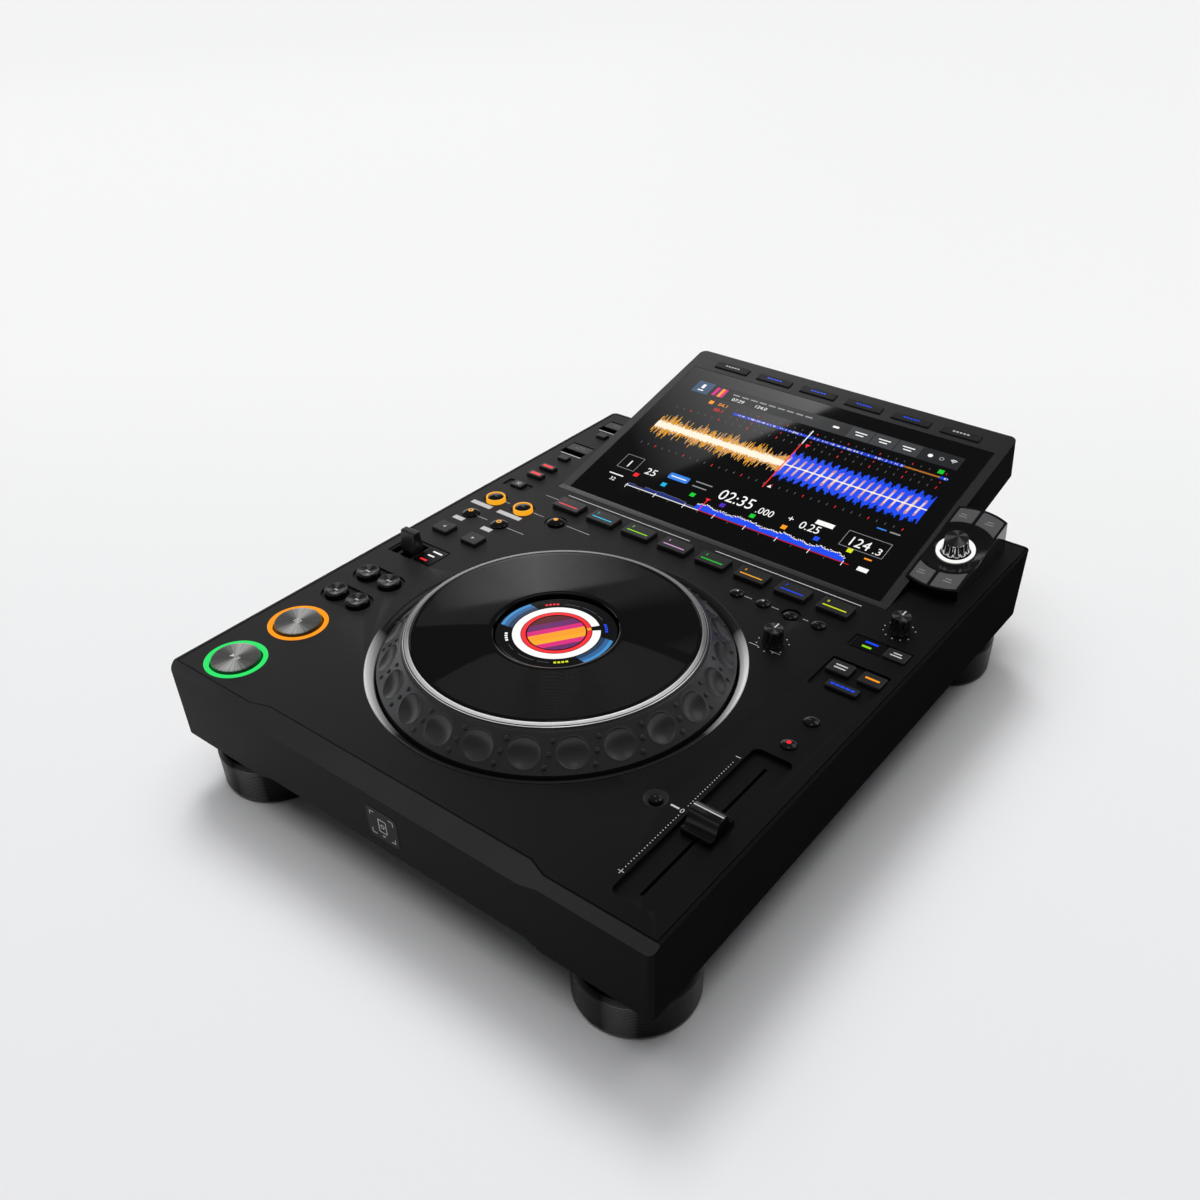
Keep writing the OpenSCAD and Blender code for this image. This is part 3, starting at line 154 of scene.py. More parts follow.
class Paint(Nodes):
    """The nodes of a new material."""

    def __init__(self, name):
        self.material = bpy.data.materials.new(name)
        self.material.use_nodes = True
        super().__init__(self.material.node_tree)
        self.shader = self.tree.nodes["Principled BSDF"]

    def link(self, socket, source):
        self.tree.links.new(source, self.shader.inputs[socket])

    def set(self, **settings):
        for key, value in settings.items():
            self.shader.inputs[key.replace("_", " ")].default_value = value


def material(name, color, rough, metal=0.0, vary=0.12, vary_scale=45.0, grain=0.0, grain_scale=2600.0,
             rough_vary=0.05, spec=0.5, lines=0.0, line_scale=1500.0, spun=False, painted_reflection_fans=None,
             sides=None, painted_light_fade=0.0):
    """A finish with broad variation of its colour and gloss.

    Grain and lines are depths in millimetres: of a fine grain, or of fine lines
    that run level round the side or, if spun, round the top. Painted reflection
    fans are (gain, direction, number of fans): a painted reflection that fans
    round a spun top. Sides are (gain, direction, cosine of the highlighted parts'
    angle off that direction, sharpness): a painted highlight round the piece. The
    painted light fade is how much lighter the left end of the piece is painted,
    and how much darker the right, as light from the left.
    """
    n = Paint(name)
    place = n.place()
    broad = share = n.noise(place, vary_scale, 3.0)
    low = [c * (1 - vary) for c in color]
    high = [c * (1 + vary) for c in color]
    # Painted light by the angle round the piece: reflection fans or a highlight.
    if painted_reflection_fans or sides:
        gain, direction = (painted_reflection_fans or sides)[:2]
        parts = n.parts(place)
        angle = n.math("SUBTRACT", n.math("ARCTAN2", parts[1], parts[0]), math.radians(direction))
        high = [c * gain for c in color]
    # painted reflection: fans of bright streaks round a spun top
    if painted_reflection_fans:
        fan = n.math("COSINE", n.math("MULTIPLY", angle, painted_reflection_fans[2]))
        fan = n.math("POWER", n.math("MULTIPLY_ADD", fan, 0.5, 0.5), 2.5)
        fine = n.line_noise(n.math("MULTIPLY", angle, 9.0), 1.0, 3.0)
        share = n.math("MULTIPLY", n.math("ADD", fan, 0.12), n.math("MULTIPLY_ADD", fine, 1.6, 0.1))
    # painted highlight round the piece, brightest towards the given direction
    if sides:
        off = n.math("SUBTRACT", n.math("COSINE", angle), sides[2])
        off = n.math("MULTIPLY", off, off)
        share = n.math("MAXIMUM", n.math("MULTIPLY_ADD", off, -sides[3], 1.0), 0.0)
    shade = n.mix(share, low, high)
    # painted light from the left: the colour is lighter at the left end and darker at the right
    if painted_light_fade:
        level = n.ramp(n.parts(place)[0], From_Min=-CASE_END, From_Max=CASE_END,
                       To_Min=1 + painted_light_fade, To_Max=1 - painted_light_fade)
        shade = n.node("VectorMath", {"Vector": shade, "Scale": level}, operation="SCALE").outputs[0]
    n.link("Base Color", shade)
    n.link("Roughness", n.ramp(broad, To_Min=max(0.0, rough - rough_vary), To_Max=rough + rough_vary))
    if lines:
        parts = n.parts(place)
        along = parts[2]
        if spun:
            along = n.math("SQRT", n.math("ADD", n.math("POWER", parts[0], 2.0),
                                          n.math("POWER", parts[1], 2.0)))
        height = n.line_noise(along, line_scale, 2.0)
    elif grain:
        height = n.noise(place, grain_scale, 2.0)
    if lines or grain:
        bump = n.node("Bump", {"Height": height}, Distance=(lines or grain) * MM)
        n.link("Normal", bump.outputs["Normal"])
    n.set(Metallic=metal, Specular_IOR_Level=spec)
    return n.material


def lit(name, code, strength):
    """Something that glows, such as a lamp or a picture element on a screen."""
    color = linear(code)
    made = material("lit_" + name, [c * UNLIT for c in color], 0.18, vary=0.1)
    shader = made.node_tree.nodes["Principled BSDF"].inputs
    shader["Emission Color"].default_value = (*color, 1)
    shader["Emission Strength"].default_value = strength
    return made


def grey(value, tint=0.04):
    return [value, value, value * (1 + tint)]


# The fades on the case, edges, deck and housing are painted light from the left.
CASE = material("case_black", grey(0.016), 0.5, grain=0.012, spec=0.03, painted_light_fade=0.65)
# painted shade: a darker, glossless copy of the case finish for faces that look to either side
CASE_SIDE_SHADE = material("case_side_painted_shade", grey(0.009), 0.6, grain=0.012, spec=0.0)
# painted highlight: a lighter finish for edges, bevels and sloped faces
EDGE_HIGHLIGHT = material("edge_painted_highlight", grey(0.03), 0.45, grain=0.006, spec=0.25, painted_light_fade=0.15)
# painted shade: a darker, glossless copy of the housing finish for its side faces
HOUSING_SIDE_SHADE = material("housing_side_painted_shade", grey(0.014), 0.5, grain=0.01, spec=0.0)
DECK = material("deck_paint", grey(0.0105), 0.47, grain=0.03, grain_scale=1500.0,
                vary=0.3, vary_scale=900.0, spec=0.2, painted_light_fade=0.7)
WELL = material("well_black", grey(0.006), 0.4, grain=0.01)
PAN = material("pan_black", grey(0.012), 0.5, grain=0.02)
# The feet carry a painted highlight streak on one part of their round sides.
FOOT = material("foot_turned", grey(0.022, 0), 0.32, metal=1.0, lines=0.02,
                line_scale=900.0, vary=0.06, sides=(6.0, -68.0, 1.03, 200.0))
HOUSING = material("housing_paint", grey(0.035), 0.3, grain=0.008, vary=0.06, spec=0.35, painted_light_fade=0.5)
GLASS = material("cover_glass", grey(0.0015), 0.035, rough_vary=0.01)
POD = material("pod_gloss", grey(0.005), 0.1, grain=0.001)
POD_KEY = material("pod_key", grey(0.085), 0.3, grain=0.004, vary=0.06)
# The bezel carries painted reflection highlights on two opposite sides, darker between.
SILVER = material("bezel_silver", grey(0.02, 0.0), 0.24, metal=0.35, vary=0.05,
                  sides=(42.0, -53.0, 0.22, 5.0))
# The bead carries a painted highlight, brighter towards the front.
BEAD = material("bead_silver", grey(0.3, 0.0), 0.2, metal=0.5, vary=0.02, sides=(3.5, -58.0, 1.0, 1.2))
# painted shade: a dark finish in the bead's grooves and on its outer flank
BEAD_GROOVE_SHADE = material("bead_painted_groove_shade", grey(0.012, 0.0), 0.3, vary=0.05)
CAP_SIDE = material("cap_side", grey(0.003), 0.12, vary=0.1)
PLATE = material("plate_black", grey(0.004), 0.35, vary=0.1, spec=0.1)
GRIP = material("grip_satin", grey(0.03), 0.3, grain=0.005)
PLATTER = material("platter_gloss", grey(0.003), 0.035, rough_vary=0.005, spec=0.3)
EYE = material("eye_glass", grey(0.004), 0.06, rough_vary=0.01)
KEY = material("key_satin", grey(0.015), 0.34, grain=0.006)
DOOR = material("door_satin", grey(0.02), 0.35, grain=0.004)
DOME = material("dome_gloss", grey(0.006), 0.12, grain=0.001)
RUBBER = material("fader_satin", grey(0.005), 0.24, grain=0.003, spec=0.3)
LEVER = material("lever_satin", grey(0.02), 0.3, grain=0.004)
# The spun caps carry painted reflection fans round their tops.
CAP = material("cap_spun", grey(0.045, -0.03), 0.3, metal=0.4, lines=0.003,
               spun=True, line_scale=2600.0, painted_reflection_fans=(13.0, 122.0, 2.0))
CAP_DARK = material("cap_spun_dark", grey(0.009, 0), 0.22, metal=0.5, lines=0.003,
                    spun=True, line_scale=2600.0, painted_reflection_fans=(15.0, 40.0, 4.0))
KNOB = material("knob_black", grey(0.014), 0.22, grain=0.003)
CHROME = material("dial_chrome", grey(0.6, 0), 0.1, metal=1.0, vary=0.08)
STEEL = material("machined_steel", grey(0.5, 0), 0.3, metal=1.0, vary=0.1)
BOARD = material("board_green", [0.02, 0.11, 0.05], 0.45, vary=0.3, vary_scale=300.0)
JACK = material("jack_black", grey(0.012), 0.4, grain=0.008)
PRINT = material("print_white", grey(0.6, 0), 0.5, grain=0.004, vary=0.05)
PRINT_GREY = material("print_grey", grey(0.28, 0), 0.5, grain=0.004, vary=0.05)

LIT = {name: lit(name, code, strength) for name, code, strength in (
    ("green", "#2ee36a", 1.0), ("orange", "#ff9a1a", 1.0),
    ("amber", "#f7a81e", 1.0), ("red", "#f0202a", 1.0),
    ("cyan", "#12b4dc", 1.0), ("lime", "#8fe012", 0.9),
    ("pink", "#d9a2d8", 0.9), ("leaf", "#10c828", 1.0),
    ("blue", "#1748e8", 1.0), ("yellow", "#d8e010", 1.0),
    ("white", "#f4f4f2", 1.0), ("grey", "#8e8f92", 1.0),
    ("dim", "#55565a", 1.0), ("dark_blue", "#152a78", 1.0),
    ("sky", "#3d8fd0", 0.9), ("steel_blue", "#28639b", 0.9),
    ("night_blue", "#163a5e", 0.8), ("gold", "#f2a516", 1.0),
    ("cream", "#f7ecd6", 1.0), ("tan", "#c07a2c", 1.0),
    ("tile", "#3a3b3e", 1.0), ("bar", "#232426", 1.0),
    ("slate", "#3c5470", 1.0), ("button_blue", "#2f7de0", 1.0),
    ("magenta", "#e0207c", 0.9), ("purple", "#6a1f66", 0.9),
    ("wine", "#5a0d1a", 0.9), ("violet", "#4a22b8", 1.0),
)}


# ---- shapes ----

def steps(x, end, step):
    """The values from x on, step by step, that are below the end."""
    while x < end:
        yield x
        x += step


def edges(outline):
    """The pairs of neighbours round a closed outline."""
    return zip(outline, outline[1:] + outline[:1])


class Shape:
    """Collects the faces of one piece, in millimetres, in a local frame."""

    def __init__(self, at=None):
        self.at = at or Matrix.Identity(4)
        self.mat = 0
        self.verts, self.faces, self.mats = [], [], []

    def add(self, points, faces):
        base = len(self.verts)
        self.verts.extend(self.at @ Vector(p) for p in points)
        self.faces.extend([base + i for i in f] for f in faces)
        self.mats.extend([self.mat] * len(faces))
        return self

    def loft(self, rings, caps=True):
        """Joins closed loops of points with quads, and closes both ends."""
        n = len(rings[0])
        faces = [(r * n + i, r * n + (i + 1) % n, (r + 1) * n + (i + 1) % n, (r + 1) * n + i)
                 for r in range(len(rings) - 1) for i in range(n)]
        if caps:
            faces += [tuple(reversed(range(n))), tuple(range((len(rings) - 1) * n, len(rings) * n))]
        return self.add([p for ring in rings for p in ring], faces)

    def lathe(self, line, parts=96, closed=False):
        """Turns a line of (radius, height) points about z."""
        points, rows = [], []
        for r, z in line:
            count = 1 if r < 1e-6 else parts
            rows.append((len(points), count))
            points += [(r * math.cos(2 * math.pi * k / parts), r * math.sin(2 * math.pi * k / parts), z)
                       for k in range(count)]
        pairs = list(zip(rows, rows[1:]))
        if closed:
            pairs.append((rows[-1], rows[0]))
        faces = []
        for (a, na), (b, nb) in pairs:
            for k in range(parts):
                m = (k + 1) % parts
                if na == 1 and nb > 1:
                    faces.append((a, b + m, b + k))
                elif nb == 1 and na > 1:
                    faces.append((a + k, a + m, b))
                elif na > 1:
                    faces.append((a + k, a + m, b + m, b + k))
        return self.add(points, faces)

    def ring(self, r0, r1, low, high, parts=96):
        return self.lathe([(r0, low), (r1, low), (r1, high), (r0, high)], parts, closed=True)

    def arc(self, r0, r1, a0, a1, low=0.0, high=0.04):
        """Sector of a ring, from angle a0 to a1."""
        parts = max(2, int(abs(a1 - a0) / 3))
        rings = []
        for k in range(parts + 1):
            a = math.radians(a0 + (a1 - a0) * k / parts)
            rings.append([(r * math.cos(a), r * math.sin(a), z) for r, z in
                          ((r0, low), (r1, low), (r1, high), (r0, high))])
        return self.loft(rings)

    def prism(self, outline, low, high):
        return self.loft([[(x, y, low) for x, y in outline], [(x, y, high) for x, y in outline]])

    def rect(self, x0, y0, x1, y1, low=-0.02, high=0.03):
        return self.prism([(x0, y0), (x1, y0), (x1, y1), (x0, y1)], low, high)

    def bar(self, x, y, w, d, low=-0.02, high=0.03):
        return self.rect(x - w / 2, y - d / 2, x + w / 2, y + d / 2, low, high)

    def line(self, a, b, width, low=-0.02, high=0.03):
        """Straight stroke from a to b."""
        (x0, y0), (x1, y1) = a, b
        size = math.hypot(x1 - x0, y1 - y0)
        u, v = (x1 - x0) / size * width / 2, (y1 - y0) / size * width / 2
        corners = [(x0 + v, y0 - u), (x1 + v, y1 - u), (x1 - v, y1 + u), (x0 - v, y0 + u)]
        return self.prism(corners, low, high)

    def block(self, w, d, r, levels):
        """Upright block with round corners; levels are (inset, height)."""
        return self.loft([
            [(x, y, z) for x, y in rounded(w - 2 * i, d - 2 * i, max(r - i, 0.05))]
            for i, z in levels])

    def key(self, w, d, low, high, r=0.8, edge=0.5):
        """Rectangular key with a rounded upper edge."""
        return self.block(w, d, r, [(0, low)] + rounding(high, edge))

    def knurl(self, levels, count, depth, parts=12):
        """Fluted round body; levels are (radius, height, share of the depth)."""
        rings = []
        for r, z, share in levels:
            ring = []
            for k in range(count * parts):
                a = 2 * math.pi * k / (count * parts)
                wave = (0.5 - 0.5 * math.cos(count * a)) ** 1.5
                q = r - depth * share * wave
                ring.append((q * math.cos(a), q * math.sin(a), z))
            rings.append(ring)
        return self.loft(rings)

    def text(self, words, x, y, size, low=-0.02, high=0.03, squash=1.0):
        """Digits and signs from Blender's own font."""
        curve = bpy.data.curves.new("text", "FONT")
        curve.body, curve.size = words, size
        curve.align_x, curve.align_y = "CENTER", "CENTER"
        curve.extrude, curve.resolution_u = 0.5, 3
        obj = show("text", curve)
        mesh = bpy.data.meshes.new_from_object(obj)
        for v in mesh.vertices:
            v.co.x *= squash
        points = [(x + v.co.x, y + v.co.y, low if v.co.z < 0 else high) for v in mesh.vertices]
        self.add(points, [tuple(f.vertices) for f in mesh.polygons])
        bpy.data.objects.remove(obj)
        bpy.data.meshes.remove(mesh)
        return self


def rounded(w, d, r, n=4):
    """Outline of a rectangle with round corners, about its centre."""
    points = []
    for i, j, a in ((1, 1, 0), (-1, 1, 90), (-1, -1, 180), (1, -1, 270)):
        for k in range(n + 1):
            t = math.radians(a + 90 * k / n)
            points.append((i * (w / 2 - r) + r * math.cos(t), j * (d / 2 - r) + r * math.sin(t)))
    return points


FLAT = 0.06   # width of the flat strip inside a rounded edge


def rounding(high, edge, n=4):
    """Levels (inset, height) of a rounded upper edge, with a flat strip inside."""
    angles = [math.radians(90 * k / n) for k in range(n + 1)]
    curve = [(edge * (1 - math.cos(a)), high - edge + edge * math.sin(a)) for a in angles]
    return curve + [(edge + FLAT, high)]


def cap_line(r, low, high, edge, dish=0.0):
    """Half section of a round cap with a rounded edge and a slight dish."""
    line = [(r, low)] + [(r - i, z) for i, z in rounding(high, edge)]
    inner = r - edge - FLAT
    return line + [(inner * q, high - dish * (1 - q * q)) for q in (0.85, 0.7, 0.5, 0.3, 0.15, 0)]


def dome_line(r, low, high, rise):
    """Half section of a domed cap."""
    ball = (r * r + rise * rise) / (2 * rise)
    line = [(r, low), (r, high - rise - 0.25), (r - 0.07, high - rise)]
    for k in range(1, 9):
        q = (r - 0.07) * (1 - k / 8)
        line.append((q, high - ball + math.sqrt(ball * ball - q * q)))
    return line


def show(name, data):
    """Adds an object of a mesh, curve, camera or light to the scene."""
    obj = bpy.data.objects.new(name, data)
    bpy.context.scene.collection.objects.link(obj)
    return obj


def hang(mesh, body, slot, stands_for, sharp, origin=(0, 0, 0)):
    """Shows a mesh on a CAD body, smooth but for its sharp edges."""
    mesh.shade_smooth()
    mesh.set_sharp_from_angle(angle=math.radians(sharp))
    obj = show(mesh.name, mesh)
    obj.location = origin
    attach(obj, body)
    if stands_for:
        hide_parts(*stands_for)
    return obj


def piece(name, shape, body, mats, slot, stands_for=(), sharp=32.0, origin=None):
    """Makes one object from a shape and hangs it on a CAD body."""
    origin = Vector(origin or (0, 0, 0))
    mesh = bpy.data.meshes.new(name)
    mesh.from_pydata([(v - origin) * MM for v in shape.verts], [], shape.faces)
    mesh.polygons.foreach_set("material_index", shape.mats)
    for m in mats if isinstance(mats, (list, tuple)) else [mats]:
        mesh.materials.append(m)
    bm = bmesh.new()
    bm.from_mesh(mesh)
    bmesh.ops.remove_doubles(bm, verts=bm.verts, dist=2e-7)
    bmesh.ops.recalc_face_normals(bm, faces=bm.faces)
    bm.to_mesh(mesh)
    bm.free()
    return hang(mesh, body, slot, stands_for, sharp, origin * MM)


def turned(name, at, line, parts, *details, **more):
    """Piece turned about z from a line of (radius, height) points; own=True gives
    it its frame's origin."""
    shape = Shape(at)
    shape.lathe(line, parts)
    origin = at.translation if more.pop("own", False) else None
    return piece(name, shape, *details, origin=origin, **more)


def dress(node, mat, slot, edge=0.3, segments=2, shaded_side_mat=None, highlight_edge_mat=None):
    """Stands a copy of a CAD node with broken edges in the node's place. Faces
    that look to either side can have a painted shade finish, and sloped faces,
    edges and bevels a painted highlight finish."""
    mesh = NODES[node].data.copy()
    mesh.name = node + "_dressed"
    bm = bmesh.new()
    bm.from_mesh(mesh)
    bmesh.ops.remove_doubles(bm, verts=bm.verts, dist=2e-6)
    bmesh.ops.dissolve_limit(bm, angle_limit=math.radians(0.4), verts=bm.verts, edges=bm.edges)
    bm.to_mesh(mesh)
    bm.free()
    mesh.materials.clear()
    for finish in (mat, shaded_side_mat or mat, highlight_edge_mat or mat):
        mesh.materials.append(finish)
    # Sideways faces take the painted shade finish, sloped faces the painted highlight finish.
    for face in mesh.polygons:
        sideways = shaded_side_mat and abs(face.normal.x) > 0.85
        sloped = highlight_edge_mat and 0.3 < face.normal.z < 0.95
        face.material_index = 1 if sideways else 2 if sloped else 0
    obj = hang(mesh, BODY[node], slot, [node], 30)
    bevel = obj.modifiers.new("edges", "BEVEL")
    bevel.limit_method, bevel.angle_limit = "ANGLE", math.radians(30)
    bevel.width, bevel.segments = edge * MM, segments
    bevel.harden_normals = True
    # bevel faces take the painted highlight finish
    bevel.material = 2


def keep(node, mat):
    """Shows a CAD node as it is, with a better material."""
    data = NODES[node].data
    data.materials.clear()
    data.materials.append(mat)


# ---- case ----

# The case gets painted shade on its sides and a painted highlight on its edges and slopes; the deck
# plate a painted highlight on its edges and slopes.
dress("case_shell", CASE, "case_plastic", 0.5, 3, CASE_SIDE_SHADE, EDGE_HIGHLIGHT)
dress("top_plate", DECK, "deck_panel", highlight_edge_mat=EDGE_HIGHLIGHT)
dress("rear_jacks", JACK, "jack_black", 0.15)
dress("power_button", KEY, "key_dark", 0.4, 3)
for node, finish in {"bottom_plate": PAN, "control_board": BOARD, "main_board": BOARD,
                     "jog_post": STEEL}.items():
    keep(node, finish)


def feet():
    """Four turned feet with fine ridges round their sides."""
    line = [(0, 0), (29.4, 0)]
    line += [(29.5 + 2 * math.cos(math.radians(a)), 2 + 2 * math.sin(math.radians(a)))
             for a in range(-80, 1, 16)]
    for z in steps(2.6, 22.4, 1.12):
        line += [(31.95, z), (31.95, z + 0.72), (31.72, z + 0.84), (31.72, z + 1.0)]
    line += [(32.0, 22.9), (31.9, 23.3), (30.1, 25.4), (29.8, 25.6), (0, 25.6)]
    places = [(x, y) for x in (-FOOT_X, FOOT_X) for y in (FOOT_Y, DEPTH - FOOT_Y)]
    for k, (x, y) in enumerate(places):
        turned("foot_turned_%d" % (k + 1), Matrix.Translation((x, y - HALF_DEPTH, 0)), line, 128,
               "root", FOOT, "foot_metal", [] if k else ["feet"], sharp=25, own=True)


feet()


# ---- jog wheel ----

JOG = deck(0, JOG_Y)


def jog_grip():
    """Cone with its finger dimples, one sector of quads for each dimple."""
    count, sides, dimple, depth = 24, 16, 8.1, 2.0
    slant = math.atan2(RING_TOP - SKIRT_TOP, RING_R - RING_TOP_R)
    length = math.hypot(RING_TOP - SKIRT_TOP, RING_R - RING_TOP_R)
    mid_r = (RING_R + RING_TOP_R) / 2
    ball = (dimple ** 2 + depth ** 2) / (2 * depth)
    half_u, half_v = math.pi / count * mid_r, length / 2
    corners = [(-half_u, -half_v), (half_u, -half_v), (half_u, half_v), (-half_u, half_v)]
    border = []
    for (x0, y0), (x1, y1) in edges(corners):
        border += [(x0 + (x1 - x0) * k / sides, y0 + (y1 - y0) * k / sides) for k in range(sides)]

    def cone_r(v):
        return mid_r - v * math.cos(slant)

    def place(turn, angle, v, down):
        r = cone_r(v) - down * math.sin(slant)
        z = (RING_TOP + SKIRT_TOP) / 2 + v * math.sin(slant) - down * math.cos(slant)
        return (r * math.cos(turn + angle), r * math.sin(turn + angle), z)

    shape = Shape(JOG)
    dish = [(rho, math.sqrt(ball ** 2 - rho ** 2) - ball + depth)
            for rho in (1.0, 2.2, 3.4, 4.6, 5.7, 6.6, 7.3, 7.75)]
    dish += [(7.95, -0.02), (8.1, -0.12), (8.35, -0.13), (8.5, -0.02), (8.6, 0.0)]
    for k in range(count):
        turn = 2 * math.pi * k / count
        rings = []
        for rho, down in dish:
            ring = []
            for x, y in border:
                size = math.hypot(x, y)
                u, v = x / size * rho, y / size * rho
                ring.append((u / cone_r(v), v, down))
            rings.append(ring)
        outer = rings[-1]
        for share in (0.35, 0.7, 1.0):
            rings.append([(a + (x / mid_r - a) * share, v + (y - v) * share, 0.0)
                          for (a, v, _), (x, y) in zip(outer, border)])
        shape.loft([[place(turn, *p) for p in ring] for ring in rings], caps=False)
        middle = [place(turn, *p) for p in rings[0]]
        n = len(middle)
        shape.add(middle + [place(turn, 0, 0, depth)], [(i, (i + 1) % n, n) for i in range(n)])
    # skirt below the cone, and the lip above it
    shape.lathe([(RING_R, SKIRT_TOP), (RING_R, -5.6), (RING_R - 0.4, -6), (RING_R - 3, -6)], 384)
    shape.lathe([(RING_TOP_R, RING_TOP), (83.2, 14.95), (83.1, 14.7)], 384)
    # grip nubs
    nub = [(1.25, -0.2), (1.25, 0.45), (1.1, 0.72), (0.8, 0.85), (0.4, 0.88), (0, 0.88)]
    for k in range(count):
        for lean, share in ((-1.3, 0.19), (0, 0.49), (1.4, 0.8)):
            turn = (k + 0.5) * 360 / count + lean
            r = RING_R - share * length * math.cos(slant)
            z = SKIRT_TOP + share * length * math.sin(slant)
            shape.at = (JOG @ Matrix.Rotation(math.radians(turn), 4, "Z")
                        @ Matrix.Translation((r, 0, z)) @ Matrix.Rotation(math.pi / 2 - slant, 4, "Y"))
            shape.lathe(nub, 18)
    piece("jog_grip_ring", shape, "jog", GRIP, "jog_grip", ["jog_ring"], sharp=38)
    bead = [(83.1, 14.6), (83.08, 15.2), (82.8, 15.75), (82.2, 16.2), (81.7, 16.4), (81.62, 16.1),
            (81.3, 16.2), (81.22, 16.62), (80.6, 16.85), (79.9, 16.97), (79.3, 17.0), (78.9, 16.9),
            (78.75, 16.8), (78.7, 16.5)]
    trim = turned("jog_bead", JOG, bead, 256, "jog", [BEAD, BEAD_GROOVE_SHADE], "bezel_silver", own=True)
    # faces outside the bead's ridges take the painted groove shade
    for face in trim.data.polygons:
        r = math.hypot(*face.center[:2]) / MM
        face.material_index = 0 if 78.85 < r < 81.25 or 81.65 < r < 82.4 else 1
    lip = [(83.2, 14.7), (82.4, 14.4), (78.2, 14.4), (78.2, 16.2)]
    turned("jog_inner_lip", JOG, lip, 192, "jog", WELL, "platter_black")


def jog_platter():
    """Gloss ring with shallow grooves."""
    line = [(34.2, PLATTER_LOW), (34.2, 16.3), (34.5, 16.75), (35.0, 16.95), (35.6, PLATTER_Z)]
    for r in steps(37.0, 76, 1.15):
        line += [(r, PLATTER_Z), (r + 0.62, PLATTER_Z), (r + 0.8, PLATTER_Z - 0.05),
                 (r + 0.98, PLATTER_Z)]
    line += [(77.0, PLATTER_Z), (78.0, PLATTER_Z), (78.3, 16.85), (PLATTER_R, 16.6),
             (PLATTER_R, PLATTER_LOW)]
    turned("platter_grooved", JOG, line, 256, "jog", PLATTER, "platter_black", ["jog_platter"], sharp=6)


def jog_bezel():
    line = [(100.0, -3.8), (100.1, -3.0), (100.3, -2.7), (101.6, -1.0), (102.6, -0.25), (103.6, 0.1),
            (104.3, 0.28), (104.6, 0.28), (104.8, 0.1), (104.8, -3.8)]
    turned("bezel_turned", JOG, line, 256, "root", SILVER, "bezel_silver", ["jog_bezel"],
           sharp=30, own=True)


def picture_disc(shape, r, low, high, first):
    """Round abstract picture: slanting bands of warm colours."""
    cuts = [-1, -0.62, -0.3, -0.05, 0.28, 0.5, 0.74, 1]
    order = [3, 1, 0, 2, 4, 0, 1]
    for (a, b), k in zip(zip(cuts, cuts[1:]), order):
        shape.mat = first + k
        points = []
        for side in (1, -1):
            span = [a + (b - a) * t / 5 for t in range(6)]
            for q in span if side > 0 else reversed(span):
                points.append((q * r, side * r * math.sqrt(max(0, 1 - q * q))))
        clean = [p for i, p in enumerate(points) if p != points[i - 1]]
        shape.prism(clean, low, high)


ART = [LIT["magenta"], LIT["purple"], LIT["orange"], LIT["wine"], LIT["gold"]]


def jog_eye():
    """Round display in the middle, with its picture and rings."""
    line = [(0, EYE_Z), (31.4, EYE_Z), (31.6, EYE_Z), (32.2, EYE_Z + 0.1),
            (33.0, EYE_Z), (EYE_R, EYE_Z - 0.3), (EYE_R, EYE_LOW), (0, EYE_LOW)]
    turned("eye_window", JOG, line, 128, "root", EYE, "eye_black", ["jog_display"])
    z0, z1 = EYE_Z - 0.02, EYE_Z + 0.04
    marks = Shape(JOG)
    colors = ART + [LIT[c] for c in (
        "white", "red", "night_blue", "steel_blue", "sky", "blue", "yellow", "dim")]
    orange, white, red, blues, blue, yellow, dim = 2, 5, 6, (7, 8, 9), 10, 11, 12
    marks.at = deck(0, JOG_Y, 0, -35)
    picture_disc(marks, 15.9, z0, z1, 0)
    marks.at = JOG
    marks.mat = red
    marks.arc(16.7, 19.1, 52, 402, z0, z1)
    marks.mat = orange
    marks.arc(16.7, 19.1, 43, 51, z0, z1)
    marks.mat = white
    marks.arc(19.5, 24.0, 52.5, 401.5, z0, z1)
    for side in (0, 180):
        for k, tone in enumerate((0, 0, 1, 1, 2, 2)):
            marks.mat = blues[tone]
            marks.arc(24.7 + 1.3 * k, 26.0 + 1.3 * k, side - 26 + 0.8 * k, side + 26 - 0.8 * k, z0, z1)
    for mat, middle in ((red, 135), (blue, 45), (white, 225), (yellow, 315)):
        marks.mat = mat
        for k in (-1.5, -0.5, 0.5, 1.5):
            marks.arc(26.4, 27.9, middle + 4.4 * k - 1.5, middle + 4.4 * k + 1.5, z0, z1)
    marks.mat = dim
    for a0, a1 in ((62, 73), (76, 98), (101, 121), (240, 252), (262, 284), (288, 302)):
        marks.arc(27.0, 27.25, a0, a1, z0, z1)
    piece("eye_picture", marks, "root", colors, "eye_black")


jog_grip()
jog_platter()
jog_bezel()
jog_eye()


# ---- display ----

# The housing gets painted shade on its sides and a painted highlight on its edges and slopes.
dress("display_housing", HOUSING, "housing_grey", 0.5, 3, HOUSING_SIDE_SHADE, EDGE_HIGHLIGHT)


def screen():
    shape = Shape(slope(0, SCREEN_H / 2))
    shape.block(SCREEN_W, SCREEN_H, 1.0, [(0, -3.8)] + rounding(0, 0.25))
    piece("screen_glass", shape, "root", GLASS, "screen_black", ["touch_screen"])


LOW, HIGH, TOP = -0.02, 0.02, 0.04   # a picture's lower and upper faces, and marks on it


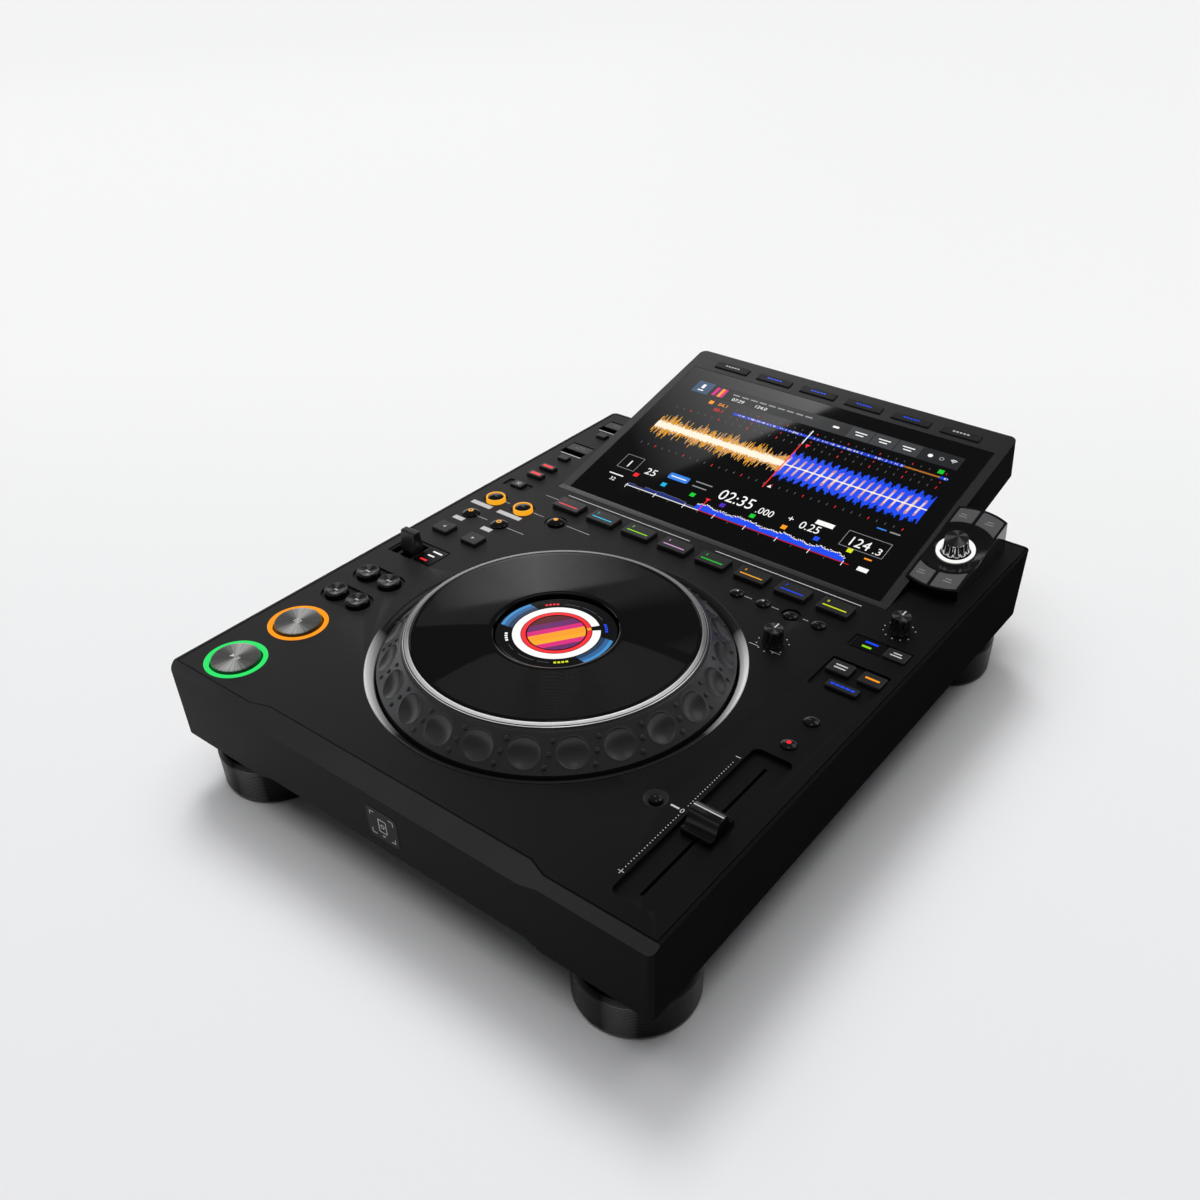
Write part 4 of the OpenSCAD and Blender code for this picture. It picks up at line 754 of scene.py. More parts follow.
class Picture(Shape):
    """Boxes, bars and digits in the colours of the screen."""
    names = ["white", "grey", "dim", "blue", "dark_blue", "gold", "cream", "tan",
             "red", "orange", "leaf", "cyan", "lime", "pink", "yellow", "violet",
             "tile", "bar", "slate", "button_blue", "magenta", "purple"]

    def use(self, name):
        self.mat = self.names.index(name)
        return self

    def box(self, name, x0, y0, x1, y1, z=TOP):
        self.use(name).rect(x0, y0, x1, y1, LOW, z)

    def spot(self, name, x, y, w, d, z=TOP):
        self.use(name).bar(x, y, w, d, LOW, z)

    def write(self, name, words, x, y, size, squash=1.0):
        self.use(name).text(words, x, y, size, LOW, TOP, squash)


def header(p):
    """Row of boxes and signs, and two counters below it."""
    p.box("bar", -103.5, 125.5, 103.5, 138.5, HIGH)
    p.box("slate", -103.5, 125.5, -90, 138.5, HIGH + 0.01)
    p.box("white", -98.5, 131, -96, 135.5)
    p.box("white", -99.5, 128, -95, 129.2)
    for k, color in enumerate(("magenta", "purple", "orange", "magenta")):
        p.box(color, -87 + 2.3 * k, 127, -84.7 + 2.3 * k, 136.5)
    p.write("white", "07:29", -65, 128.6, 4.6)
    p.write("white", "124.0", -46, 128.6, 4.6)
    for k in range(9):
        p.box("grey", -72 + 7.4 * k, 133, -72 + 7.4 * k + 5.6, 134.3)
    for k in range(3):
        step = 17.6 * k
        p.box("tile", 22.5 + step, 126, 39.3 + step, 138, HIGH + 0.01)
        p.box("white", 26.5 + step, 132.7, 35.3 + step, 133.7)
        p.box("white", 28 + step, 130, 33.8 + step, 131)
    p.box("white", 10, 131, 14.5, 133)
    p.at = slope(82, 132)
    p.lathe([(0, LOW), (1.7, LOW), (1.7, TOP), (0, TOP)], 20)
    p.at = slope(90, 132)
    p.use("grey").ring(1.0, 1.7, LOW, TOP, 20)
    p.at = slope(98, 131)
    for r in (0.1, 1.4, 2.7):
        p.use("white").arc(r, r + 0.6, 45, 135, LOW, TOP)
    p.at = slope()
    p.spot("orange", -81.5, 119.6, 3.4, 3.6)
    p.write("orange", "04.1", -71.5, 119.6, 4.8)
    p.write("red", "00.1", -71.5, 113.6, 4.8)


def small_wave(p, rng):
    """Waveform of the whole phrase."""
    for x in steps(-59.5, 103, 0.72):
        a = 0.7 + 1.3 * rng.random()
        if 72 < x < 97:
            p.spot("tan", x, 115, 0.5, 0.8 + a * 0.5)
        else:
            p.spot("blue", x, 115, 0.5, 1.2 + a, HIGH)
            if rng.random() < 0.45:
                p.spot("cream", x, 115, 0.42, a)


def large_wave(p, rng):
    """Waveform that was played at the left, and is to come at the right."""
    middle = 83.3
    for x in steps(-103.5, 0, 0.6):
        beat = abs(math.sin((x + 104) * 0.134)) ** 6
        a = 4.2 + 7.0 * rng.random() ** 2 + 4.0 * beat * rng.random()
        p.spot("gold", x, middle, 0.42, 2 * a, HIGH)
        if rng.random() < 0.4:
            p.spot("grey", x + 0.3, middle, 0.25, 2 * a + 3 * rng.random(), HIGH)
        core = 2.4 + 2.2 * rng.random() ** 2
        p.spot("cream", x, middle, 0.62, 2 * core)
    for x in steps(x + 0.6, 104.5, 0.6):
        beat = 0.5 + 0.5 * math.sin(x * 1.15)
        a = 9.0 + 4.0 * beat + 3.0 * rng.random()
        p.spot("blue", x, middle, 0.62, 2 * a, HIGH)
        if beat > 0.72:
            p.use("gold").line((x - 0.6, middle - a * 0.6), (x + 0.8, middle + a * 0.6), 0.35,
                               LOW, HIGH + 0.01)
        if beat > 0.92:
            p.use("cream").line((x - 0.5, middle - a * 0.4), (x + 0.6, middle + a * 0.4), 0.4, LOW, TOP)
        p.spot("cream", x, middle, 0.62, 0.9 + 1.4 * rng.random() * beat)


def beat_ticks(p):
    """Ticks above and below the waveforms, and the mark of the present."""
    bars = (-89, -65.5, -42, -18.5, 5, 28.5, 52, 75.5, 99)
    for row, tall in ((105, 2.2), (61, 2.2), (119.6, 1.6), (110.6, 1.6)):
        for x in steps(-101, 104, 5.9):
            near = min(abs(x - bar) for bar in bars)
            if row in (105, 61) or x > -60:
                p.spot("red" if near < 1.2 else "dim", x, row, 0.5, tall)
    p.use("red").prism([(3.2, 107.5), (6.8, 107.5), (5, 104.3)], LOW, TOP)
    p.use("white").prism([(2.9, 58.5), (6.1, 58.5), (4.5, 61.3)], LOW, TOP)
    p.box("red", 0.1, 57, 0.9, 107, TOP + 0.02)
    p.box("white", 0.1, 107, 0.9, 122, TOP + 0.02)
    p.spot("leaf", 95.5, 120.2, 3.8, 3.8)


def bottom_row(p):
    """Track number, time, tempo and two plain buttons."""
    for x0, x1 in ((-101, -87), (71.5, 101)):
        corners = [(x0, 32), (x1, 32), (x1, 46), (x0, 46)]
        for a, b in edges(corners):
            p.use("grey").line(a, b, 0.35, LOW, TOP)
    for words, x, y, size, squash in (
            ("1", -94, 37.4, 9.5, 1.0), ("25", -75, 36.4, 9.0, 1.0),
            ("02:35", -7.5, 38.6, 14.0, 0.86), (".000", 15.4, 36.4, 8.6, 0.86),
            ("+", 33.5, 38.4, 8.0, 1.0), ("0.25", 48.5, 36.6, 9.6, 0.9),
            ("124", 82.6, 37.6, 11.5, 0.9), (".3", 96, 36.2, 8.5, 1.0)):
        p.write("white", words, x, y, size, squash)
    p.box("white", 49, 41.8, 61.5, 45.8)
    p.at = slope(-54.5, 40)
    p.use("button_blue").block(16, 6, 1.4, [(0, LOW), (0, TOP)])
    p.at = slope()
    p.box("grey", -42, 42, -29, 42.9)
    p.box("grey", -42, 37.4, -31, 38.3)
    p.box("white", -60.5, 39.5, -48.5, 40.4, TOP + 0.01)


def overview(p, rng):
    """Small picture of the whole track with its cue marks."""
    cues = "red", "cyan", "leaf", "violet", "leaf", "orange", "blue", "yellow"
    for x, color in zip((-83, -60, -36.5, -13, 10, 33.5, 57, 80.5), cues):
        p.spot(color, x, 30, 3.6, 3.6)
    foot = 19.4
    for x in steps(-83.0, 81, 0.6):
        wave = math.sin(x * 0.21) * 0.35 + math.sin(x * 0.53) * 0.25
        if x < -29:
            a = (0.8 if x < -70 else 2.4) + 1.0 * wave + 0.5 * rng.random()
            a = max(a * (0.3 if -36 < x < -29 else 1), 0.3)
            p.box("dark_blue", x, foot, x + 0.62, foot + a, HIGH)
            p.box("dim", x, foot + a, x + 0.62, 19.9 + a, HIGH)
        else:
            a = 4.0 + 2.2 * wave + 1.6 * rng.random() ** 2
            p.box("blue", x, foot, x + 0.62, foot + a, HIGH)
            p.box("cream", x, foot + a, x + 0.62, 20.1 + a, HIGH)
    p.box("white", -83.5, 18.5, -24.5, 19.1)
    p.box("red", -24.5, 18.6, 86, 19.0)
    p.use("red").prism([(-26.4, 31.4), (-22.6, 31.4), (-24.5, 28.4)], LOW, TOP)
    p.box("red", -24.8, 18.5, -24.2, 29)
    for k in range(8):
        step = 23.5 * k
        p.box("white", -83 + step, 16.2, -82.5 + step, 20.4)
        p.box("dim", -71.5 + step, 16.4, -71.1 + step, 18)
    p.box("orange", 91.5, 27.4, 96.5, 28.6)
    p.box("white", 92, 17, 99, 20.5)
    p.box("white", -101.5, 24, -90, 25)
    p.write("white", "32", -95.5, 19.6, 4.6)
    p.box("button_blue", 85, 55, 91.5, 56.1)
    p.box("grey", 94, 55, 101, 56.1)


def screen_picture():
    p, rng = Picture(slope()), random.Random(11)
    header(p)
    small_wave(p, rng)
    large_wave(p, rng)
    beat_ticks(p)
    bottom_row(p)
    overview(p, rng)
    piece("screen_picture", p, "root", [LIT[n] for n in Picture.names], "screen_black")


def screen_keys():
    shape, marks = Shape(), Shape()
    for k in range(6):
        x = (k - 2.5) * 35.9
        shape.at = slope(x, 159.7)
        shape.key(27.6, 6.6, -3.2, 1.1, 0.7, 0.35)
        marks.at = slope(x, 159.9)
        marks.mat = 0 if k in (0, 5) else 1
        for i in (-2, -1, 0, 1, 2):
            marks.bar(2.5 * i, 0, 1.7, 1.2, 1.05, 1.14)
    piece("screen_key_caps", shape, "screen_keys", KEY, "key_dark", ["screen_keys"])
    piece("screen_key_marks", marks, "screen_keys", [PRINT, LIT["blue"]], "key_dark")


screen()
screen_picture()
screen_keys()


# ---- browse pod ----

dress("browse_pod", POD, "pod_plastic", 0.6, 3)
dress("browse_keys", POD_KEY, "key_dark", 0.35, 3)


def pod_marks():
    marks = Shape()
    for x in (-8.5, 8.5):
        for y in (-27.5, 27.5):
            marks.at = slope(DIAL_X + x, DIAL_S + y, 1.5)
            marks.bar(0, -1.1, 5.2, 0.7, -0.02, 0.04)
            marks.bar(0, 1.1, 3.8, 0.7, -0.02, 0.04)
    piece("pod_key_marks", marks, "browse_keys", PRINT_GREY, "key_dark")


def browse_dial():
    shape = Shape(slope(DIAL_X, DIAL_S))
    shape.knurl([(8.4, 0.3, 0.4), (8.3, 0.9, 0.9), (7.7, 2.2, 1), (7.35, 4.4, 1),
                 (7.2, 6.4, 1), (7.15, 8.0, 0.9), (7.0, 8.4, 0.4)], 12, 1.0, 10)
    piece("dial_fluted", shape, "browse_knob", CHROME, "dial_metal", ["browse_knob"])
    turned("dial_top", shape.at, cap_line(6.9, 8.0, 9.0, 0.4, 0.1), 64, "browse_knob",
           CAP_DARK, "dial_metal", own=True)


pod_marks()
browse_dial()


# ---- keys on the deck ----

def windows():
    """Lit rings round play, cue and the dial, and two windows with their marks."""
    shape = Shape()
    ring = [(14.5, -1.5), (14.5, 0.2), (14.65, 0.3), (16.8, 0.3), (17.1, 0.1), (17.1, -1.5)]
    for k, place in enumerate((PLAY_AT, CUE_AT)):
        shape.at, shape.mat = deck(*place), k
        shape.lathe(ring, 96)
    shape.at, shape.mat = slope(DIAL_X, DIAL_S), 2
    shape.ring(9.6, 11.6, -3.6, 0, 72)
    shape.mat = 3
    for place, w, d, high in ((LEVER_WINDOW_AT, 14.2, 17.6, -0.3), (MODE_WINDOW_AT, 18.4, 11.4, -0.2)):
        shape.at = deck(*place)
        shape.block(w, d, 0.6, [(0, -1.7)] + rounding(high, 0.15, 2))
    piece("lit_windows", shape, "root", [LIT["green"], LIT["orange"], LIT["white"], GLASS], "lens",
          ["indicator_windows"])
    marks = Shape(deck(*LEVER_WINDOW_AT, -0.3))
    marks.bar(1.2, 5.0, 7.5, 1.3)
    marks.bar(0, 0.4, 5.2, 1.3)
    marks.mat = 1
    marks.bar(-1.0, -5.2, 5.4, 1.6)
    marks.at, marks.mat = deck(*MODE_WINDOW_AT, -0.2), 2
    marks.bar(1.0, 2.3, 8.0, 1.7)
    marks.mat = 3
    marks.bar(0, -2.2, 5.6, 1.7)
    piece("window_marks", marks, "root", [LIT["white"], LIT["red"], LIT["blue"], LIT["lime"]], "lens")


def arrow(shape, x, y, size, side, low, high):
    shape.prism([(x - side * size / 2, y - size / 2), (x + side * size / 2, y),
                 (x - side * size / 2, y + size / 2)], low, high)


def darken(cap, radius):
    """Gives a turned cap's side, from a radius on, the second finish."""
    for face in cap.data.polygons:
        if math.hypot(*face.center[:2]) > radius * MM:
            face.material_index = 1


def transport(name, x, y):
    """Play or cue: a spun cap with a rounded rim, and its sign."""
    node = name + "_button"
    line = [(13.8, -4), (13.8, -0.9), (13.7, -0.7), (13.4, -0.5), (13.1, 1.2),
            (13.0, 1.45), (12.8, 1.6), (12.5, 1.65)]
    line += [(12.5 * q, 1.65 - 0.25 * (1 - q * q)) for q in (0.9, 0.75, 0.6, 0.4, 0.2, 0)]
    cap = turned(name + "_cap", deck(x, y), line, 96, node, [CAP, CAP_SIDE], "cap_metal",
                 [node], own=True)
    darken(cap, 13.05)
    marks = Shape(deck(x, y, 1.36))
    if name == "play":
        arrow(marks, -1.9, 0, 3.0, 1, 0, 0.08)
        for i in (1.1, 2.5):
            marks.bar(i, 0, 0.7, 2.8, 0, 0.08)
    else:
        for j in (1.2, 0, -1.2):
            marks.bar(0, j, 4.6, 0.6, 0, 0.08)
    piece(name + "_mark", marks, node, PRINT, "cap_metal")


def search(node, x, y, side, bars):
    """Search or track: a small dished cap with its arrows."""
    line = [(7.0, -3.3), (7.0, 1.6), (6.8, 2.1), (6.4, 2.4), (6.1, 2.45), (4.5, 2.1),
            (3.0, 1.85), (1.5, 1.7), (0, 1.65)]
    cap = turned(node + "_cap", deck(x, y), line, 72, node, [CAP_DARK, CAP_SIDE],
                 "cap_metal", [node], own=True)
    darken(cap, 6.3)
    marks = Shape(deck(x, y, 1.85))
    for i in (-0.75, 0.75):
        arrow(marks, i, 0, 1.5, side, 0, 0.1)
    if bars:
        marks.bar(side * 1.75, 0, 0.35, 1.6, 0, 0.1)
    piece(node + "_mark", marks, node, PRINT, "cap_metal")


windows()
transport("play", *PLAY_AT)
transport("cue", *CUE_AT)
for row, nodes, bars in ((103.2, "search", False), (128.3, "track", True)):
    for side, word in ((-1, "back"), (1, "forward")):
        search("%s_%s_button" % (nodes, word), -135.3 + side * 9, row, side, bars)

# Keys with a rectangular cap: their places, width, depth and height of the top
SQUARE_KEYS = {
    "jump_back_key": ([(-144.7, 194)], 12.5, 11, 2.5),
    "jump_forward_key": ([(-119.7, 194)], 12.5, 11, 2.5),
    "slip_key": ([(-146.3, 266.4)], 9.2, 7.1, 1.4),
    "jog_mode_key": ([(150.1, 243.5)], 13.2, 9.6, 1.0),
    "beat_sync_key": ([(130.9, 215.8)], 13.8, 10.5, 1.0),
    "master_key": ([(149.8, 216)], 13.4, 10, 1.0),
    "key_sync_key": ([(140.2, 200.8)], 18.5, 6, 1.0),
    "lit_keys": ([(-144.7, 282.9), (-144.7, 295.8)], 12.3, 6, 2.5),
    "usb_stop_keys": ([(-145.6, 314), (-145.6, 357.5)], 8, 6, 2.0),
}
for k in range(8):
    SQUARE_KEYS["hot_cue_%d" % (k + 1)] = ([(1.8 + 28.4 * (k - 3.5), HOT_ROW)], 20.4, 12.4, 3.0)

# Keys with a domed cap: their places, radius and height of the top
ROUND_KEYS = {
    "loop_short_key": ([(-145.3, BEAT_LOOP_ROW)], 5.5, 2.6),
    "loop_long_key": ([(-120.6, BEAT_LOOP_ROW)], 5.5, 2.6),
    "reloop_key": ([(-93, LOOP_ROW)], 5.5, 2.6),
    "call_keys": ([(46, 243.5), (64.2, 243.5)], 4.15, 2.4),
    "delete_key": ([(82.8, 243.5)], 4.15, 1.2),
    "memory_key": ([(101.2, 243.5)], 4.15, 2.4),
    "tempo_range_key": ([(141.3, 167.2)], 4.15, 2.0),
    "master_tempo_key": ([(141.2, 144.9)], 4.15, 2.0),
    "tempo_reset_key": ([(111, 74.6)], 3.0, 0.8),
}

# Bars (x, y, width, depth) on the tops of keys, with their finish
KEY_BARS = {
    "jog_mode_key": (PRINT, [(0, 1.2, 5, 1.0), (0, -1.2, 7, 1.0)]),
    "beat_sync_key": (PRINT, [(0, 1.3, 7, 1.1), (0, -1.3, 7, 1.1)]),
    "master_key": (LIT["orange"], [(0, 0, 8.4, 1.5)]),
    "key_sync_key": (LIT["blue"], [(3 * i, 0, 2.4, 1.5) for i in (-2, -1, 0, 1, 2)]),
    "lit_keys": (LIT["red"], [(0, 0, 8.2, 2.6)]),
}
KEY_LOW = -3.2


def key_caps():
    for node, (places, w, d, high) in SQUARE_KEYS.items():
        shape = Shape()
        for place in places:
            shape.at = deck(*place)
            shape.key(w, d, KEY_LOW, high, 0.8, 0.45)
        piece(node + "_cap", shape, node, KEY, "key_dark", [node])
    for node, (places, r, high) in ROUND_KEYS.items():
        shape = Shape()
        for place in places:
            shape.at = deck(*place)
            shape.lathe(dome_line(r, KEY_LOW, high, r / 3.4), 56)
        piece(node + "_cap", shape, node, DOME, "key_dark", [node])


def loop_keys():
    """Loop in and loop out: an amber ring round a dark dome."""
    ring = [(6.5, -3.3), (6.5, 1.9), (6.35, 2.2), (6.1, 2.3), (5.65, 2.3), (5.5, 2.15), (5.5, 1.0)]
    for node, x in (("loop_in_key", -145.2), ("loop_out_key", -121.3)):
        at = deck(x, LOOP_ROW)
        turned(node + "_ring", at, ring, 72, node, LIT["amber"], "key_amber", [node])
        turned(node + "_cap", at, dome_line(5.3, 1.0, 3.1, 1.3), 72, node, DOME, "key_amber")


def tops(node):
    """Local frames on the tops of a rectangular key's caps."""
    places, _, _, high = SQUARE_KEYS[node]
    return [deck(*place, high) for place in places]


def mark(node, shape, mat, slot="key_dark"):
    piece(node + "_mark", shape, node, mat, slot)


def key_marks():
    """Printed or lit marks on the keys."""
    hot = ["red", "cyan", "lime", "pink", "leaf", "amber", "blue", "yellow"]
    for k, color in enumerate(hot):
        node = "hot_cue_%d" % (k + 1)
        shape = Shape(tops(node)[0])
        shape.bar(0, -2.1, 15.4, 0.95)
        shape.text(str(k + 1), -6.2, 2.4, 3.0)
        piece(node + "_lamp", shape, node, LIT[color], "key_dark")
    for node, side in (("jump_back_key", -1), ("jump_forward_key", 1)):
        shape = Shape(tops(node)[0])
        arrow(shape, 0, 0, 2.4, side, -0.02, 0.03)
        mark(node, shape, PRINT)
    for node, (mat, bars) in KEY_BARS.items():
        shape = Shape()
        for at in tops(node):
            shape.at = at
            for bar in bars:
                shape.bar(*bar)
        mark(node, shape, mat, "key_red" if node == "lit_keys" else "key_dark")
    shape = Shape(tops("slip_key")[0])
    shape.line((-1.6, -1.2), (1.6, 1.2), 0.5)
    shape.line((-1.6, 1.2), (1.6, -1.2), 0.5)
    shape.bar(0, 1.7, 3.4, 0.4)
    mark("slip_key", shape, PRINT)
    for node in ("loop_short_key", "loop_long_key"):
        shape = Shape(deck(*ROUND_KEYS[node][0][0], 2.5))
        shape.ring(0.9, 1.7, -0.3, 0.12, 24)
        mark(node, shape, LIT["amber"])
    for node, z, r, color in (("reloop_key", 2.55, 1.5, "amber"),
                              ("master_tempo_key", 1.96, 1.3, "red")):
        shape = Shape(deck(*ROUND_KEYS[node][0][0], z))
        shape.lathe([(r, -0.3), (r, 0.0), (r * 0.7, 0.09), (0, 0.12)], 28)
        mark(node, shape, LIT[color])
    shape = Shape()
    for place, side in zip(ROUND_KEYS["call_keys"][0], (-1, 1)):
        shape.at = deck(*place, 2.32)
        arrow(shape, 0, 0, 1.7, side, -0.2, 0.12)
    mark("call_keys", shape, PRINT)


key_caps()
loop_keys()
key_marks()


# ---- knobs, fader, lever, doors ----

def knob(node, x, y):
    at = deck(x, y)
    shape = Shape(at)
    shape.knurl([(6.1, 0.4, 0.5), (6.1, 0.8, 1), (5.75, 5, 1), (5.5, 9.0, 1),
                 (5.45, 9.4, 0.5), (5.3, 9.7, 0)], 10, 0.9, 12)
    piece(node + "_skirt", shape, node, KNOB, "knob_black", [node])
    turned(node + "_top", at, cap_line(5.3, 9.6, 10.5, 0.35, 0.25), 56, node, CAP_DARK,
           "knob_black", own=True)
    line = Shape(at)
    line.rect(-0.45, 0.6, 0.45, 5.1, 10.2, 10.52)
    piece(node + "_pointer", line, node, PRINT, "knob_black")


def fader():
    """Saddle-shaped cap with its line."""
    half = [(10, -2.7), (10, 0.3), (9.8, 0.7), (9.3, 0.9), (8.7, 0.85), (8.1, 0.45),
            (7.6, 0.35), (7.0, 0.6), (6.1, 1.4), (5.3, 2.6), (4.6, 4.2), (4.0, 6.0),
            (3.5, 7.3), (3.2, 7.75), (2.8, 7.95), (2.4, 8.0)]
    profile = half + [(-y, z) for y, z in reversed(half)]
    shape = Shape(deck(*FADER_AT))
    rings = []
    for inset, x in ((0.5, -8.5), (0.15, -8.35), (0, -8.0), (0, 8.0), (0.15, 8.35), (0.5, 8.5)):
        rings.append([(x, y * (1 - inset / 10), -2.7 + (z + 2.7) * (1 - inset / 11))
                      for y, z in profile])
    shape.loft(rings)
    piece("fader_cap", shape, "tempo_fader", RUBBER, "fader_metal", ["tempo_fader"], sharp=40)
    strip = Shape(deck(*FADER_AT))
    strip.rect(-8.3, 0.9, 8.3, 2.2, 7.9, 8.04)
    strip.mat = 1
    strip.rect(-8.3, 0.1, 8.3, 0.8, 7.9, 8.08)
    piece("fader_line", strip, "tempo_fader", [POD_KEY, PRINT], "fader_metal")


for node, place in KNOBS.items():
    knob(node, *place)
fader()
dress("direction_lever", LEVER, "lever_metal", 0.7, 3)
dress("usb_door_front", DOOR, "door_dark", 0.2)
dress("usb_door_rear", DOOR, "door_dark", 0.2)


# ---- printing on the deck ----

def deck_print():
    """Plain bars where words stand, lines between keys, scale and dots."""
    shape = Shape(deck(0, 0))
    for box in ((-156.5, 230, -139.5, 234), (-133.5, 230, -114, 234),
                (-152, 208, -143.5, 212), (-127.5, 208, -119.5, 212)):
        shape.rect(*box)
    for a, b, w in (((-109.6, 275.8), (-10.7, 275.8), 0.7), ((8.9, 275.8), (111, 275.8), 0.7),
                    ((-155.3, 322), (-137.3, 322), 0.8), ((-155.3, 365.8), (-137.3, 365.8), 0.8)):
        shape.line(a, b, w)
    for x0, x1, y in ((-122, -105, 267), (-138, -133.5, 243.8), (-113, -104, 243.8), (-85, -66, 243.8),
                      (-140, -131, 219), (-114, -100, 219), (50.8, 56, 244), (69.6, 74.5, 244),
                      (90.5, 94, 244), (78, 84, 206.6), (91.5, 98, 206.8)):
        shape.line((x0, y), (x1, y), 0.35)
    # fader scale, with a gap for its zero
    zero = 74.8
    for k in range(44):
        y = 31.4 + 2 * k
        if abs(y - zero) > 3:
            shape.bar(126.2, y, 0.5, 0.55)
    shape.line((124.6, 28), (127.8, 28), 0.32)
    shape.line((126.2, 26.4), (126.2, 29.6), 0.32)
    shape.line((124.8, 122.2), (127.6, 122.2), 0.4)
    shape.text("0", 125.9, zero, 4.2)
    shape.line((119.2, 75.3), (124.0, 75.3), 1.1)
    # dots round the two knobs
    for x, y in KNOBS.values():
        for i in range(11):
            a = math.radians(-60 + 30 * i)
            shape.bar(x + 9 * math.sin(a + math.pi), y + 9 * math.cos(a + math.pi), 0.7, 0.7)
    piece("deck_print", shape, "root", PRINT, "deck_panel")


def door_icons():
    """Rounded outline in the middle of each USB door."""
    for node in ("usb_door_front", "usb_door_rear"):
        low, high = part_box(node)
        middle = [(a + b) / 2 / MM for a, b in zip(low, high)]
        shape = Shape(Matrix.Translation((middle[0], middle[1], high[2] / MM)))
        for a, b in edges(rounded(7.0, 2.6, 1.25, 5)):
            shape.line(a, b, 0.3, -0.02, 0.04)
        piece(node + "_icon", shape, BODY[node], PRINT_GREY, "door_dark")


def front_plate():
    """Small gloss plate on the front, with an outline between four corners."""
    at = Matrix.Translation((-0.25, -HALF_DEPTH, DECK_Z - 26.2)) @ Matrix.Rotation(
        math.radians(90), 4, "X")
    shape = Shape(at)
    shape.block(21.5, 20.5, 3.0, [(0, -0.4), (0, 0.1), (0.1, 0.2)])
    shape.mat = 1
    for i in (-1, 1):
        for j in (-1, 1):
            shape.bar(i * 6.6, j * 7.3, 3.0, 0.45, 0.15, 0.26)
            shape.bar(i * 8.0, j * 6.0, 0.45, 3.0, 0.15, 0.26)
    for x, y, w, d in ((-2.6, 0, 0.5, 8.4), (2.6, 0, 0.5, 8.4), (0, 4.1, 5.4, 0.5),
                       (0, -4.1, 5.4, 0.5), (0, -6.6, 2.0, 0.7)):
        shape.bar(x, y, w, d, 0.15, 0.26)
    shape.ring(0.9, 1.4, 0.15, 0.26, 24)
    piece("front_plate", shape, "root", [PLATE, PRINT], "case_plastic")


deck_print()
door_icons()
front_plate()


# ---- camera, floor and light ----

def camera():
    """The camera as solved from the photograph, in its pixels and millimetres."""
    image, focal, middle_x, middle_y = 1200, 1149.073, 640.863, 704.403
    data = bpy.data.cameras.new("camera")
    data.sensor_width = 36
    data.lens = focal * data.sensor_width / image
    data.shift_x = (image / 2 - middle_x) / image
    data.shift_y = (middle_y - image / 2) / image
    data.clip_start, data.clip_end = 0.01, 50
    obj = show("camera", data)
    right = Vector((0.79924771, 0.60100032, -0.00131216))
    down = Vector((0.37664301, -0.50258235, -0.77817159))
    ahead = Vector((-0.46834084, 0.62145764, -0.62805036))
    turn = Matrix((right, -down, -ahead)).transposed().to_4x4()
    place = Vector((342.383, -244.135 - HALF_DEPTH, 374.555 + DECK_Z)) * MM
    obj.matrix_world = Matrix.Translation(place) @ turn
    bpy.context.scene.camera = obj


def sheet(name, w, h):
    """Mesh of one flat rectangle about its middle."""
    mesh = bpy.data.meshes.new(name)
    mesh.from_pydata([(-w, -h, 0), (w, -h, 0), (w, h, 0), (-w, h, 0)], [], [(0, 1, 2, 3)])
    return mesh


def floor():
    """Paper that gets paler away from the camera, as a painted light falloff."""
    mesh = sheet("floor", 14.0, 14.0)
    n = Paint("floor_paper")
    place = n.place()
    noise = n.node("TexNoise", {"Vector": place}, Scale=3.0).outputs["Fac"]
    parts = n.parts(place)
    # painted light falloff: paler towards the back and the left
    away = n.math("MULTIPLY_ADD", parts[0], -0.6, n.math("MULTIPLY", parts[1], 0.8))
    away = n.ramp(away, From_Min=-0.75, From_Max=0.55)
    share = n.math("MULTIPLY_ADD", noise, 0.04, away)
    n.link("Base Color", n.mix(share, (0.82, 0.825, 0.845), (1.0, 1.0, 1.0)))
    n.set(Roughness=0.7, Specular_IOR_Level=0.1)
    mesh.materials.append(n.material)
    show("floor", mesh)


def card(name, center, along, across, size, low, high, peak=1.0, spread=1.0):
    """Softbox seen only by gloss. Its strength is high at the share peak of its
    way along, and falls to low over the share spread."""
    mesh = sheet(name, size[0] / 2, size[1] / 2)
    n = Paint(name)
    share = n.parts(n.place("Generated"))[0]
    off = n.math("ABSOLUTE", n.math("SUBTRACT", share, peak))
    level = n.ramp(off, From_Max=spread, To_Min=high, To_Max=low)
    glow = n.node("Emission", {"Strength": level}).outputs[0]
    n.tree.links.new(glow, n.tree.nodes["Material Output"].inputs["Surface"])
    mesh.materials.append(n.material)
    obj = show(name, mesh)
    x = Vector(along).normalized()
    z = x.cross(Vector(across)).normalized()
    turn = Matrix((x, z.cross(x), z)).transposed().to_4x4()
    obj.matrix_world = Matrix.Translation(center) @ turn
    obj.visible_camera = obj.visible_diffuse = obj.visible_shadow = False


def edge_card(name, a, b, inwards, height, before, after, *levels):
    """Card with one long edge on the line from a to b, drawn out at both ends."""
    a, b, inwards = Vector(a), Vector(b), Vector(inwards)
    along = (b - a).normalized()
    start, end = a - along * before, b + along * after
    card(name, (start + end) / 2 + inwards.normalized() * height / 2, along, inwards,
         ((end - start).length, height), *levels)


def aimed_card(name, center, aim, size, *levels):
    """Card that faces a point."""
    back = (Vector(center) - Vector(aim)).normalized()
    along = Vector((0.0, 0.001, 1)).cross(back)
    card(name, center, along, back.cross(along), size, *levels)


